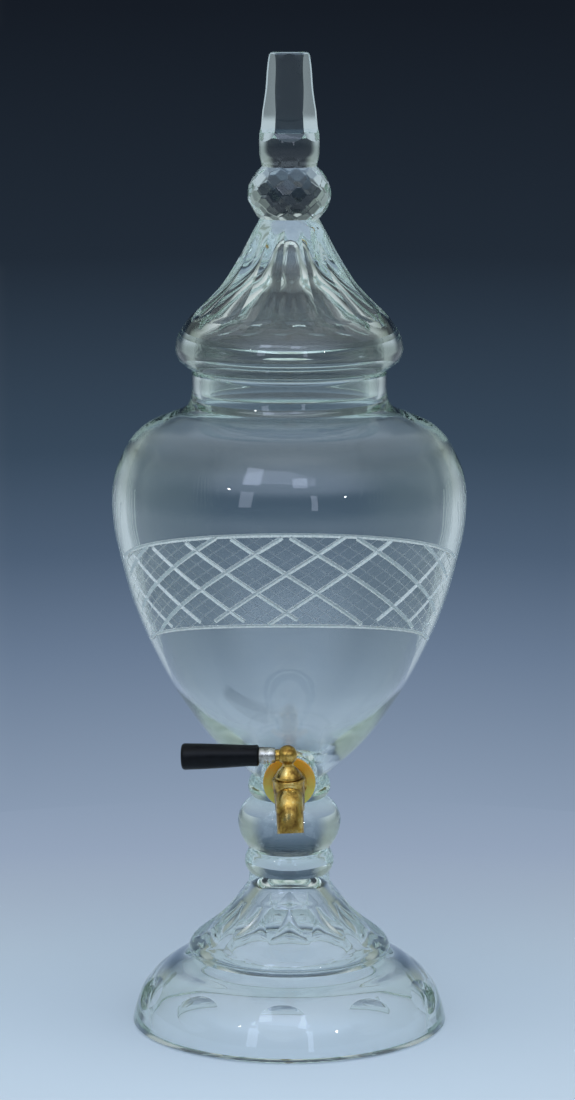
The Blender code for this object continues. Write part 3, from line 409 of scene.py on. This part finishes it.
def hatching(tree, place_on):
    """Fine crossed lines between the band's borders, on the bowl's outside: 1 on a line and 0 beside it."""
    xyz = add_node(tree, "ShaderNodeSeparateXYZ", inputs={"Vector": (place_on, "Object")})
    front = add_node(tree, "ShaderNodeMath", {"operation": "MULTIPLY"}, {0: (xyz, "Y"), 1: -1.0})
    turn = add_node(tree, "ShaderNodeMath", {"operation": "ARCTAN2"}, {
        0: (xyz, "X"), 1: (front, "Value")})
    slant = math.radians(slant_turn / slant_drop)
    lines = []
    for lean in (1, -1):
        drop = add_node(tree, "ShaderNodeMath", {"operation": "MULTIPLY_ADD"}, {
            0: (xyz, "Z"), 1: lean * slant / MM, 2: -lean * slant * band_high})
        place = add_node(tree, "ShaderNodeMath", {"operation": "SUBTRACT"}, {
            0: (turn, "Value"), 1: (drop, "Value")})
        pitches = add_node(tree, "ShaderNodeMath", {"operation": "MULTIPLY_ADD"}, {
            0: (place, "Value"), 1: hatch_lines / math.radians(mitre_pitch),
            2: -hatch_lines * mitre_first / mitre_pitch})
        saw = add_node(tree, "ShaderNodeMath", {"operation": "PINGPONG"}, {0: (pitches, "Value"), 1: 0.5})
        lines.append(add_node(tree, "ShaderNodeMath", {"operation": "LESS_THAN"}, {
            0: (saw, "Value"), 1: hatch_half}))
    either = add_node(tree, "ShaderNodeMath", {"operation": "MAXIMUM"}, {
        0: (lines[0], "Value"), 1: (lines[1], "Value")})
    squared = add_node(tree, "ShaderNodeMath", {"operation": "POWER"}, {0: (turn, "Value"), 1: 2.0})
    arch = 1 / math.radians(border_end) ** 2
    from_top = add_node(tree, "ShaderNodeMath", {"operation": "MULTIPLY_ADD"}, {
        0: (squared, "Value"), 1: high_sag * MM * arch, 2: (xyz, "Z")})
    under = add_node(tree, "ShaderNodeMath", {"operation": "LESS_THAN"}, {
        0: (from_top, "Value"), 1: (band_high - hatch_gap) * MM})
    from_foot = add_node(tree, "ShaderNodeMath", {"operation": "MULTIPLY_ADD"}, {
        0: (squared, "Value"), 1: low_sag * MM * arch, 2: (xyz, "Z")})
    over = add_node(tree, "ShaderNodeMath", {"operation": "GREATER_THAN"}, {
        0: (from_foot, "Value"), 1: (band_low + hatch_gap) * MM})
    reach = add_node(tree, "ShaderNodeMath", {"operation": "LESS_THAN"}, {
        0: (squared, "Value"), 1: math.radians(band_end) ** 2})
    between = add_node(tree, "ShaderNodeMath", {"operation": "MULTIPLY"}, {
        0: (under, "Value"), 1: (over, "Value")})
    in_band = add_node(tree, "ShaderNodeMath", {"operation": "MULTIPLY"}, {
        0: (between, "Value"), 1: (reach, "Value")})
    flat = add_node(tree, "ShaderNodeVectorMath", {"operation": "MULTIPLY"}, {
        0: (place_on, "Object"), 1: (1, 1, 0)})
    girth = add_node(tree, "ShaderNodeVectorMath", {"operation": "LENGTH"}, {0: (flat, "Vector")})
    wall = add_node(tree, "ShaderNodeMath", {"operation": "MULTIPLY_ADD"}, {
        0: (xyz, "Z"), 1: -skin_slope, 2: (girth, "Value")})
    outer = add_node(tree, "ShaderNodeMath", {"operation": "GREATER_THAN"}, {
        0: (wall, "Value"), 1: skin_start * MM})
    on_face = add_node(tree, "ShaderNodeMath", {"operation": "MULTIPLY"}, {
        0: (in_band, "Value"), 1: (outer, "Value")})
    return add_node(tree, "ShaderNodeMath", {"operation": "MULTIPLY"}, {
        0: (either, "Value"), 1: (on_face, "Value")})


def glass_finish(name, hatched):
    """Polished clear glass: its thickness gives the faint green of soda lime glass, its skin has soft waves
    26 mm long from blowing, and handling has left it a trace duller in spots of 9 mm. Hatched adds the fine
    lines in the band's diamonds, which the wheel leaves matt and 0.2 mm deep."""
    finish = bpy.data.materials.new(name)
    finish.use_nodes = True
    tree = finish.node_tree
    shader = tree.nodes["Principled BSDF"]
    shader.inputs["Base Color"].default_value = colour("#FBFEFC")
    shader.inputs["IOR"].default_value = 1.52
    shader.inputs["Transmission Weight"].default_value = 1.0
    place_on = add_node(tree, "ShaderNodeTexCoord")
    waves = add_node(tree, "ShaderNodeTexNoise", inputs={
        "Vector": (place_on, "Object"), "Scale": 1 / (26 * MM), "Detail": 1.0, "Roughness": 0.4})
    bump = add_node(tree, "ShaderNodeBump", inputs={
        "Height": (waves, "Fac"), "Strength": 0.12, "Distance": 0.5 * MM})
    handled = add_node(tree, "ShaderNodeTexNoise", inputs={
        "Vector": (place_on, "Object"), "Scale": 1 / (9 * MM), "Detail": 3.0})
    rough = add_node(tree, "ShaderNodeMapRange", inputs={
        "Value": (handled, "Fac"), "From Min": 0.45, "From Max": 0.8, "To Min": 0.0, "To Max": 0.035})
    roughness = (rough, "Result")
    if hatched:
        hatch = hatching(tree, place_on)
        matt = add_node(tree, "ShaderNodeMapRange", inputs={
            "Value": (hatch, "Value"), "To Min": 0.0, "To Max": 0.38})
        added = add_node(tree, "ShaderNodeMath", {"operation": "ADD"}, {
            0: (rough, "Result"), 1: (matt, "Result")})
        roughness = (added, "Value")
        bump = add_node(tree, "ShaderNodeBump", {"invert": True}, {
            "Height": (hatch, "Value"), "Strength": 0.5, "Distance": 0.2 * MM, "Normal": (bump, "Normal")})
    tree.links.new(roughness[0].outputs[roughness[1]], shader.inputs["Roughness"])
    tree.links.new(bump.outputs["Normal"], shader.inputs["Normal"])
    depth = add_node(tree, "ShaderNodeVolumeAbsorption", inputs={
        "Color": colour(glass_green), "Density": glass_depth})
    tree.links.new(depth.outputs["Volume"], tree.nodes["Material Output"].inputs["Volume"])
    return finish


neck_line = [(58.9, 406.5), (59.6, 405.9), (59.7, 404.8), (59.6, 400.0), (59.6, 395.0), (60.1, 390.5)]
bowl_line = [
    (60.1, 390.5), (62.2, 386.2), (66.5, 383.4), (74.2, 380.3), (87.4, 374.4), (95.2, 367.5),
    (99.9, 360.3), (106.2, 346.0), (108.4, 330.3), (107.5, 314.0), (104.3, 297.9), (95.3, 265.0),
    (81.5, 232.1), (65.3, 204.0), (48.0, 180.5), (32.3, 165.0), (22.9, 157.0)]
collar_line = [(22.9, 157.0), (24.5, 154.2), (25.5, 150.0), (24.8, 145.4), (22.4, 142.7)]
knop_line = [
    (22.4, 142.7), (25.0, 140.8), (28.6, 137.0), (31.4, 131.0), (31.7, 125.4), (30.0, 118.5), (26.9, 112.9),
    (24.8, 109.5)]
merese_line = [(24.8, 109.5), (26.7, 106.4), (27.7, 102.2), (26.6, 97.6), (24.9, 94.9)]
bell_line = [
    (24.9, 94.9), (25.1, 91.5), (25.6, 88.3), (28.8, 83.4), (32.4, 78.8), (36.7, 73.1), (41.7, 67.5),
    (48.3, 61.8), (53.1, 58.2), (57.1, 55.1), (59.9, 52.6), (62.5, 48.4), (62.4, 45.4), (60.9, 43.1)]
foot_line = [
    (60.9, 43.1), (69.8, 40.2), (76.5, 36.1), (83.8, 30.1), (90.5, 21.9), (93.9, 14.2), (96.5, 6.0),
    (97.6, 1.0)]
rim_line = [(97.6, 1.0), (97.0, 0.3), (96.0, 0.0), (89.0, 0.0), (88.0, 0.4)]
under_line = [
    (88.0, 0.4), (86.6, 8.5), (83.5, 17.0), (78.0, 24.5), (70.5, 30.5), (61.5, 34.8), (54.0, 38.5),
    (48.5, 43.0), (46.0, 48.5), (43.0, 54.0), (38.5, 59.5), (33.0, 65.0), (27.5, 70.5), (23.0, 76.0),
    (19.0, 81.5), (15.5, 86.5), (12.0, 90.5), (8.0, 93.0), (3.5, 94.6), (0.0, 95.0)]
outline = [(0.0, 406.5)]
for run, step in ((neck_line, 1.2), (bowl_line, 2.6), (collar_line, 1.4), (knop_line, 1.5),
                  (merese_line, 1.4), (bell_line, 1.1), (foot_line, 2.2), (rim_line, 1.5), (under_line, 3.0)):
    outline += eased(run, step)[:-1]
outline.append(under_line[-1])
vessel = turn_round("vessel_glass", outline, 192)
vessel.data.materials.append(glass_finish("cut_and_etched_glass", True))

# Twelve pointed petals are ground round the bell, each a hollow with a crisp edge. A petal takes seven of
# the eight columns of vertices on each side of its middle line.
petal_count = 12
petal_point, petal_wide, petal_foot = 79.2, 61.8, 52.4
petal_depth = 2.9
petal_broad, petal_thin = 0.97, 0.04         # of its twelfth, at its widest and at its tips
petal_full = 1.15                            # how soon it reaches its depth as it widens
petal_edge = 14 / 16
skin = 0.2                                   # how far a vertex may be off the outline and still be on it
bell_run = eased(bell_line, 1.1)
for vertex in vessel.data.vertices:
    height = vertex.co.z / MM
    if not petal_foot < height < petal_point:
        continue
    radius = math.hypot(vertex.co.x, vertex.co.y) / MM
    rim = radius_at(bell_run, height)
    if rim is None or abs(radius - rim) > skin:
        continue
    turn = math.atan2(vertex.co.x, -vertex.co.y) * petal_count / math.tau
    across = 2 * (turn - round(turn))
    if height >= petal_wide:
        width = petal_broad * (petal_point - height) / (petal_point - petal_wide)
    else:
        fall = (petal_wide - height) / (petal_wide - petal_foot)
        width = petal_broad * math.sqrt(max(0.0, 1 - fall ** 2))
    width = max(width, petal_thin)
    share = min(1.0, abs(across) / petal_edge)
    if abs(across) <= petal_edge + 0.001:
        across = math.copysign(share * width, across)
        radius -= petal_depth * min(1.0, width * petal_full) * (1 - share ** 2)
    angle = (round(turn) + across / 2) * math.tau / petal_count
    vertex.co = (radius * math.sin(angle) * MM, -radius * math.cos(angle) * MM, vertex.co.z)

# The tap's boss is fused on, the urn is hollow down to a narrow sump, and the tap's hole is drilled
# from outside and faced flat inside, where its washer and nut sit.
tap_seat = (0, -0.0437, 0.1613)
tap_dip, tap_lean = 5.0, -2.5
tap_place = (Matrix.Translation(tap_seat) @ Matrix.Rotation(math.radians(tap_dip), 4, "X")
             @ Matrix.Rotation(math.radians(tap_lean), 4, "Y"))
along_shank = tap_place @ Matrix.Rotation(math.pi / 2, 4, "X")
boss = turn_round("boss", [(0, 0), (16.2, 0), (17.0, -0.3), (17.2, -1.1), (17.2, -23.3), (0, -23.3)], 96)
set_in(boss, along_shank)
cut(vessel, boss, "UNION")

mouth_line = [(0, 412.0), (56.0, 412.0), (56.0, 407.5), (55.2, 406.2), (54.7, 405.2)]
hollow_line = [
    (54.7, 389.3), (57.0, 386.0), (63.0, 381.8), (70.6, 378.2), (84.0, 369.5), (92.5, 358.9), (98.4, 345.0),
    (100.4, 330.3), (99.5, 314.0), (96.3, 297.9), (87.4, 260.3), (73.2, 225.1), (58.3, 201.6), (40.6, 182.4),
    (26.8, 171.0), (20.4, 163.6), (17.6, 157.0)]
sump_line = [(14.6, 153.6), (10.2, 151.9), (0, 151.9)]
hollow = turn_round("hollow", mouth_line + eased(hollow_line, 3.0) + sump_line, 192)
cut(vessel, hollow)
drill_turn = 1.3          # degrees, so that the drill's facets don't lie on the hollow's
drill = turn_round("drill", [(0, 4), (7.0, 4), (7.0, -22.0), (11.6, -22.0), (11.6, -43.7), (0, -43.7)], 64)
set_in(drill, along_shank @ Matrix.Rotation(math.radians(drill_turn), 4, "Z"))
cut(vessel, drill)

# Ten shallow round punties are ground into the foot, each by the rim of a large wheel.
punty_count = 10
punty_turn, punty_slope = -2.7, 33.6
punty_ring, punty_height = 90.0, 22.6
wheel_curve, wheel_bite, wheel_reach, wheel_back = 220, 2.3, 22, 14
for index in range(punty_count):
    turn = math.radians(360 // punty_count * index + punty_turn)
    slope = math.radians(punty_slope)
    out = Vector((math.sin(turn) * math.cos(slope), -math.cos(turn) * math.cos(slope), math.sin(slope)))
    middle = Vector((math.sin(turn) * punty_ring, -math.cos(turn) * punty_ring, punty_height)) * MM
    face = [(r, r * r / wheel_curve - wheel_bite) for r in range(0, wheel_reach + 1, 2)]
    wheel = turn_round("wheel", face + [(wheel_reach, wheel_back), (0, wheel_back)], 72)
    set_in(wheel, Matrix.Translation(middle) @ out.to_track_quat("Z", "Y").to_matrix().to_4x4())
    cut(vessel, wheel)


# The cut band in front: mitre grooves cross in two slants between two arched border grooves, cut with the
# edge of a stone wheel. Its grit leaves them matt, so that they catch the light whitish. The grit is drawn as
# blotches of 1.2 mm, coarser than it is, because it wouldn't show otherwise.
frosted = bpy.data.materials.new("wheel_cut_matt_glass")
frosted.use_nodes = True
tree = frosted.node_tree
shader = tree.nodes["Principled BSDF"]
shader.inputs["IOR"].default_value = 1.52
shader.inputs["Transmission Weight"].default_value = 0.5
place_on = add_node(tree, "ShaderNodeTexCoord")
grit = add_node(tree, "ShaderNodeTexNoise", inputs={
    "Vector": (place_on, "Object"), "Scale": 1 / (1.2 * MM), "Detail": 2.0})
tone = add_node(tree, "ShaderNodeValToRGB", inputs={"Fac": (grit, "Fac")})
ramp_stops(tone.color_ramp, [(0.35, "#CBD8DE"), (0.65, "#EDF3F5")])
rough = add_node(tree, "ShaderNodeMapRange", inputs={
    "Value": (grit, "Fac"), "From Min": 0.3, "From Max": 0.7, "To Min": 0.38, "To Max": 0.55})
tree.links.new(tone.outputs["Color"], shader.inputs["Base Color"])
tree.links.new(rough.outputs["Result"], shader.inputs["Roughness"])
depth = add_node(tree, "ShaderNodeVolumeAbsorption", inputs={
    "Color": colour(glass_green), "Density": glass_depth})
tree.links.new(depth.outputs["Volume"], tree.nodes["Material Output"].inputs["Volume"])


def groove(name, path, depth, twist="Z_UP"):
    """A square bar along a path on the glass, edge inwards, that cuts one mitre groove."""
    bar = draw_line(name, path)
    bpy.ops.object.mode_set(mode="OBJECT")
    bpy.ops.object.convert(target="CURVE")
    bar = bpy.context.object
    bar.data.twist_mode = twist
    bar.data.bevel_depth = depth
    bar.data.bevel_resolution = 0
    bar.data.use_fill_caps = True
    bpy.ops.object.convert(target="MESH")
    bar = bpy.context.object
    bpy.ops.object.mode_set(mode="EDIT")
    bpy.ops.mesh.select_all(action="SELECT")
    bpy.ops.mesh.remove_doubles(threshold=0.00001)
    bpy.ops.mesh.normals_make_consistent(inside=False)
    bpy.ops.object.mode_set(mode="OBJECT")
    bar.data.materials.clear()
    bar.data.materials.append(frosted)
    return bar


def join(pieces):
    """Joins pieces into the first of them."""
    bpy.ops.object.select_all(action="DESELECT")
    for piece in pieces:
        piece.select_set(True)
    bpy.context.view_layer.objects.active = pieces[0]
    bpy.ops.object.join()
    return pieces[0]


bowl_run = eased(bowl_line, 2.6)


def on_bowl(azimuth, height):
    """A point on the bowl's outside, azimuth in degrees from the front."""
    radius = radius_at(bowl_run, height)
    turn = math.radians(azimuth)
    return (radius * math.sin(turn) * MM, -radius * math.cos(turn) * MM, height * MM)


def band_top(azimuth):
    """The upper border's height."""
    return band_high - high_sag * (azimuth / border_end) ** 2


def band_foot(azimuth):
    """The lower border's height."""
    return band_low - low_sag * (azimuth / border_end) ** 2


border_depth, mitre_depth = 1.2, 1.5
mitre_top, mitre_step, mitre_steps = 326.0, 1.5, 61
for border in (band_top, band_foot):
    path = [on_bowl(azimuth, border(azimuth)) for azimuth in range(-border_end, border_end + 1, 4)]
    cut(vessel, groove("border", path, border_depth * MM))
for lean in (1, -1):
    bars = []
    for apex in range(mitre_first, 1 - mitre_first, mitre_pitch):
        path = []
        for step in range(mitre_steps):
            height = mitre_top - step * mitre_step
            azimuth = apex + lean * (band_high - height) * slant_turn / slant_drop
            if abs(azimuth) < band_end and band_foot(azimuth) < height < band_top(azimuth):
                path.append(on_bowl(azimuth, height))
        if len(path) > 2:
            sparse = path[::3]
            bars.append(groove("mitre", sparse if len(sparse) > 1 else path, mitre_depth * MM))
    cut(vessel, join(bars))

# Tall mitre grooves fan out over both sides of the urn. The middle one starts highest, and they draw
# together downward.
fan_side = 90.4
fan_depth = 1.0
fan_top, fan_lower, fan_step = 342.0, 4.0, 8.6
fan_spread, fan_close = 4.6, 0.30
for side in (fan_side, -fan_side):
    for index in range(-3, 4):
        path = []
        for step in range(12):
            height = fan_top - fan_lower * abs(index) - step * fan_step
            azimuth = side + index * (fan_spread - fan_close * step)
            path.append(on_bowl(azimuth, height))
        cut(vessel, groove("fan", path, fan_depth * MM, "MINIMUM"))

clear_chips(vessel)
smooth(vessel, 18.0)
vessel.visible_shadow = False          # clear glass lets the lamps through to the table
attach(vessel, "vessel")
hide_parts("foot_dome", "foot_bell", "stem_merese", "stem_knop", "bowl")

# The lid: a blown cover with a flange inside the neck, fourteen hollow flutes, a faceted ball and a
# six-sided spire, all fused to one piece of clear glass.
lid_top = 499.8
lid_line = [
    (18.0, 499.8), (20.0, 496.0), (22.2, 492.1), (30.1, 477.3), (39.4, 462.4), (45.7, 455.0), (53.0, 447.6),
    (57.4, 443.4), (61.3, 439.2), (65.6, 433.2), (68.4, 427.6), (69.3, 422.4), (68.9, 418.0), (67.0, 414.2),
    (63.6, 411.0), (60.6, 408.9), (58.4, 407.0)]
flange_line = [(57.6, 406.8), (53.9, 406.8), (53.9, 394.0), (53.2, 393.3), (49.4, 393.3), (48.7, 394.0)]
lid_hollow_line = [
    (48.7, 406.8), (50.5, 409.5), (54.0, 412.8), (57.2, 417.0), (57.9, 420.7), (56.5, 427.2), (50.0, 434.4),
    (41.0, 441.0), (24.0, 455.0), (15.0, 462.0), (11.2, 466.8), (9.0, 471.4), (7.4, 476.0), (5.4, 480.2),
    (2.8, 483.0), (0.0, 484.0)]
lid_run = eased(lid_line, 1.1)
lid = turn_round("lid_glass", [(0, lid_top), *lid_run, *flange_line, *eased(lid_hollow_line, 2.0)], 196)
lid.data.materials.append(glass_finish("polished_clear_glass", False))

flute_count = 14
flute_turn = 0.22                            # of a flute's width
flute_depth = 0.042                          # of the radius: little more than a flat
flute_low, flute_high = 436, 496
flute_foot, foot_arch = 440.4, 4.6           # each ends below in an arc
top_fade, foot_fade = 13, 3.0                # heights over which a flute reaches its depth
for vertex in lid.data.vertices:
    height = vertex.co.z / MM
    radius = math.hypot(vertex.co.x, vertex.co.y) / MM
    if height < flute_low or height > flute_high:
        continue
    rim = radius_at(lid_run, height)
    if rim is None or abs(radius - rim) > skin:
        continue
    turn = math.atan2(vertex.co.x, -vertex.co.y) * flute_count / math.tau - flute_turn
    across = 2 * abs(turn - round(turn))
    foot = flute_foot + foot_arch * across ** 2
    from_top = min(1.0, max(0.0, (flute_high - height) / top_fade))
    from_foot = min(1.0, max(0.0, (height - foot) / foot_fade)) ** 0.6
    depth = flute_depth * radius * (1 - across ** 2) * from_top * from_foot
    shrink = (radius - depth) / radius
    vertex.co.x *= shrink
    vertex.co.y *= shrink

# The ball is ground flat by flat, in seven rows of eleven facets that are set off by half from row to row.
# Each row is its tilt in degrees and its distance from the ball's middle.
ball_radius, ball_height = 25.6, 515.5
ball_pole = 15.9
facet_count = 11
facet_turn = 0.1
facet_rows = ((52, 22.3), (34.5, 22.9), (17.6, 24.2), (2.4, 24.9), (-12.8, 24.8), (-29, 24.1), (-47, 23.2))
bpy.ops.object.select_all(action="DESELECT")
bpy.ops.mesh.primitive_uv_sphere_add(segments=44, ring_count=32, radius=ball_radius * MM,
                                     location=(0, 0, ball_height * MM))
ball = bpy.context.object
ball.name = "finial_ball_blank"
bpy.ops.object.transform_apply(location=True)
ball_middle = Vector((0, 0, ball_height * MM))
bpy.ops.object.mode_set(mode="EDIT")
facings = [(Vector((0, 0, 1)), ball_pole), (Vector((0, 0, -1)), ball_pole)]
for row, (tilt, reach) in enumerate(facet_rows):
    rise = math.radians(tilt)
    for index in range(facet_count):
        turn = math.tau * (index + 0.5 * (row % 2) - facet_turn) / facet_count
        facing = Vector((math.sin(turn) * math.cos(rise), -math.cos(turn) * math.cos(rise), math.sin(rise)))
        facings.append((facing, reach))
for facing, reach in facings:
    bpy.ops.mesh.select_all(action="SELECT")
    bpy.ops.mesh.bisect(plane_co=ball_middle + facing * reach * MM, plane_no=facing, use_fill=True,
                        clear_outer=True, threshold=0.00001)
bpy.ops.mesh.select_all(action="SELECT")
bpy.ops.mesh.normals_make_consistent(inside=False)
bpy.ops.object.mode_set(mode="OBJECT")


def blunt(piece, width, degrees):
    """Takes the edge off every corner sharper than an angle."""
    bpy.ops.object.select_all(action="DESELECT")
    bpy.context.view_layer.objects.active = piece
    piece.select_set(True)
    step = piece.modifiers.new("blunt", "BEVEL")
    step.width = width * MM
    step.segments = 1
    step.limit_method = "ANGLE"
    step.angle_limit = math.radians(degrees)
    bpy.ops.object.modifier_apply(modifier="blunt")


blunt(ball, 0.35, 6.0)
cut(lid, ball, "UNION")

# The spire is a drawn rod, ground to six sides that run out above the ball, with its top edge rounded.
spire_sides = 6
spire_top, spire_foot = 599.6, 531.0
wheel_width = 24.0
spire_line = [
    (10.2, 599.6), (11.4, 599.2), (12.2, 598.2), (12.6, 596.5), (13.5, 589.0), (14.3, 578.0), (15.3, 570.0),
    (16.4, 563.0), (17.5, 555.0), (18.1, 549.0), (18.3, 543.0), (18.0, 537.5), (17.2, 534.0), (16.6, 531.0)]
side_line = [(11.7, 604.0), (11.85, 598.0), (13.0, 580.0), (14.2, 562.0), (14.75, 555.0), (15.4, 551.5),
             (16.6, 548.6), (18.6, 546.0), (24.0, 546.0), (24.0, 604.0)]
spire = turn_round("spire_blank", [(0, spire_top), *eased(spire_line, 1.2), (0, spire_foot)], 96)
for index in range(spire_sides):
    flat = draw_line("flat", [(-wheel_width / 2 * MM, -radius * MM, height * MM)
                              for radius, height in side_line])
    bpy.ops.mesh.select_all(action="SELECT")
    bpy.ops.mesh.edge_face_add()
    bpy.ops.mesh.extrude_region_move(TRANSFORM_OT_translate={"value": (wheel_width * MM, 0, 0)})
    bpy.ops.mesh.select_all(action="SELECT")
    bpy.ops.mesh.normals_make_consistent(inside=False)
    bpy.ops.object.mode_set(mode="OBJECT")
    set_in(flat, Matrix.Rotation(math.tau * index / spire_sides, 4, "Z"))
    cut(spire, flat)
blunt(spire, 0.3, 16.0)
cut(lid, spire, "UNION")
clear_chips(lid)
smooth(lid, 8.0)
lid.visible_shadow = False
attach(lid, "lid")
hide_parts("lid_cover", "finial_ball", "finial_spire")


# The tap: shank, barrel, spout, plug, washers, nut and screw are brass, cast or turned, and were polished
# once. It shines where hands rub it and has brown patina where a cloth doesn't reach.
def polished_metal(name, bright, worn, patina):
    """Metal that was polished once: patina in blotches of 7 mm, duller there, and fine scratches and pits,
    which are drawn 0.8 mm wide, coarser than they are, so that they show."""
    finish = bpy.data.materials.new(name)
    finish.use_nodes = True
    tree = finish.node_tree
    shader = tree.nodes["Principled BSDF"]
    shader.inputs["Metallic"].default_value = 1.0
    place_on = add_node(tree, "ShaderNodeTexCoord")
    blotch = add_node(tree, "ShaderNodeTexNoise", inputs={
        "Vector": (place_on, "Object"), "Scale": 1 / (7 * MM), "Detail": 4.0, "Roughness": 0.6})
    tone = add_node(tree, "ShaderNodeValToRGB", inputs={"Fac": (blotch, "Fac")})
    ramp_stops(tone.color_ramp, [(0.36, patina), (0.52, worn), (0.68, bright)])
    grain = add_node(tree, "ShaderNodeTexNoise", inputs={
        "Vector": (place_on, "Object"), "Scale": 1 / (0.8 * MM), "Detail": 2.0})
    rough = add_node(tree, "ShaderNodeMapRange", inputs={
        "Value": (blotch, "Fac"), "From Min": 0.35, "From Max": 0.7, "To Min": 0.40, "To Max": 0.16})
    bump = add_node(tree, "ShaderNodeBump", inputs={
        "Height": (grain, "Fac"), "Strength": 0.15, "Distance": 0.08 * MM})
    tree.links.new(tone.outputs["Color"], shader.inputs["Base Color"])
    tree.links.new(rough.outputs["Result"], shader.inputs["Roughness"])
    tree.links.new(bump.outputs["Normal"], shader.inputs["Normal"])
    return finish


def worn_copy(name, finish, body, worn=0.35):
    """A copy of a CAD node: its faces joined, its corners rounded by wear, and its turned sides smooth."""
    piece = bpy.data.objects.new(name + "_finished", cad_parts[name].data.copy())
    scene.collection.objects.link(piece)
    bpy.ops.object.select_all(action="DESELECT")
    bpy.context.view_layer.objects.active = piece
    piece.select_set(True)
    bpy.ops.object.mode_set(mode="EDIT")
    bpy.ops.mesh.select_all(action="SELECT")
    bpy.ops.mesh.remove_doubles(threshold=0.00001)
    bpy.ops.mesh.dissolve_limited(angle_limit=math.radians(0.5))
    bpy.ops.object.mode_set(mode="OBJECT")
    round_off = piece.modifiers.new("worn", "BEVEL")
    round_off.width = worn * MM
    round_off.segments = 3
    round_off.limit_method = "ANGLE"
    round_off.angle_limit = math.radians(35)
    round_off.use_clamp_overlap = True
    bpy.ops.object.modifier_apply(modifier="worn")
    smooth(piece, 32.0)
    piece.data.materials.clear()
    piece.data.materials.append(finish)
    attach(piece, body)
    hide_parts(name)
    return piece


tap_brass = polished_metal("cast_brass", "#EAD08A", "#CDA654", "#7A5A2A")
for name, body in (("tap_body", "vessel"), ("tap_spout", "vessel"), ("nut_washer", "vessel"),
                   ("lock_nut", "vessel"), ("tap_plug", "tap_key"), ("plug_washer", "tap_key"),
                   ("plug_screw", "tap_key")):
    worn_copy(name, tap_brass, body)

# The washers seal the tap on both sides of the glass. The seat washer outside is amber rubber that turns
# yellow-green and paler towards its foot, and the inner one is pale rubber. Both are moulded, mottled and let
# some light in.
shift_above, shift_below = 0.177, 0.162          # heights in metres between which the rubber changes
for name, slot, near, far in (("seat_washer", "amber_rubber", "#C98F14", "#C9BE55"),
                              ("inner_washer", "pale_rubber", "#E2DA9C", "#CFC98C")):
    finish = bpy.data.materials.new(name + "_rubber")
    finish.use_nodes = True
    tree = finish.node_tree
    shader = tree.nodes["Principled BSDF"]
    shader.inputs["Roughness"].default_value = 0.36
    shader.inputs["Subsurface Weight"].default_value = 0.35
    shader.inputs["Subsurface Scale"].default_value = 2 * MM
    place_on = add_node(tree, "ShaderNodeTexCoord")
    split = add_node(tree, "ShaderNodeSeparateXYZ", inputs={"Vector": (place_on, "Object")})
    mottle = add_node(tree, "ShaderNodeTexNoise", inputs={
        "Vector": (place_on, "Object"), "Scale": 1 / (6 * MM), "Detail": 3.0})
    mottled_height = add_node(tree, "ShaderNodeMath", {"operation": "MULTIPLY_ADD"}, {
        0: (mottle, "Fac"), 1: 12 * MM, 2: (split, "Z")})
    share = add_node(tree, "ShaderNodeMapRange", inputs={
        "Value": (mottled_height, "Value"), "From Min": shift_above, "From Max": shift_below})
    tone = add_node(tree, "ShaderNodeValToRGB", inputs={"Fac": (share, "Result")})
    ramp_stops(tone.color_ramp, [(0.0, near), (1.0, far)])
    tree.links.new(tone.outputs["Color"], shader.inputs["Base Color"])
    worn_copy(name, finish, "vessel", 0.3)

# The lever: a handle of black phenolic resin, turned and worn to a soft sheen, on a nickel-plated ferrule
# with turned grooves and a plated steel stud, which is screwed into the plug's ball.
resin = bpy.data.materials.new("black_turned_resin")
resin.use_nodes = True
tree = resin.node_tree
shader = tree.nodes["Principled BSDF"]
shader.inputs["Specular IOR Level"].default_value = 0.16
place_on = add_node(tree, "ShaderNodeTexCoord")
wear = add_node(tree, "ShaderNodeTexNoise", inputs={
    "Vector": (place_on, "Object"), "Scale": 1 / (4 * MM), "Detail": 4.0})
tone = add_node(tree, "ShaderNodeValToRGB", inputs={"Fac": (wear, "Fac")})
ramp_stops(tone.color_ramp, [(0.4, "#040508"), (0.7, "#0A0C11")])
rough = add_node(tree, "ShaderNodeMapRange", inputs={
    "Value": (wear, "Fac"), "From Min": 0.3, "From Max": 0.7, "To Min": 0.3, "To Max": 0.42})
tree.links.new(tone.outputs["Color"], shader.inputs["Base Color"])
tree.links.new(rough.outputs["Result"], shader.inputs["Roughness"])
worn_copy("lever_handle", resin, "tap_key", 0.4)
nickel = polished_metal("nickel_plate", "#E2DFD8", "#C9C6BF", "#8E8A82")
worn_copy("lever_ferrule", nickel, "tap_key", 0.2)
worn_copy("lever_stud", nickel, "tap_key", 0.15)
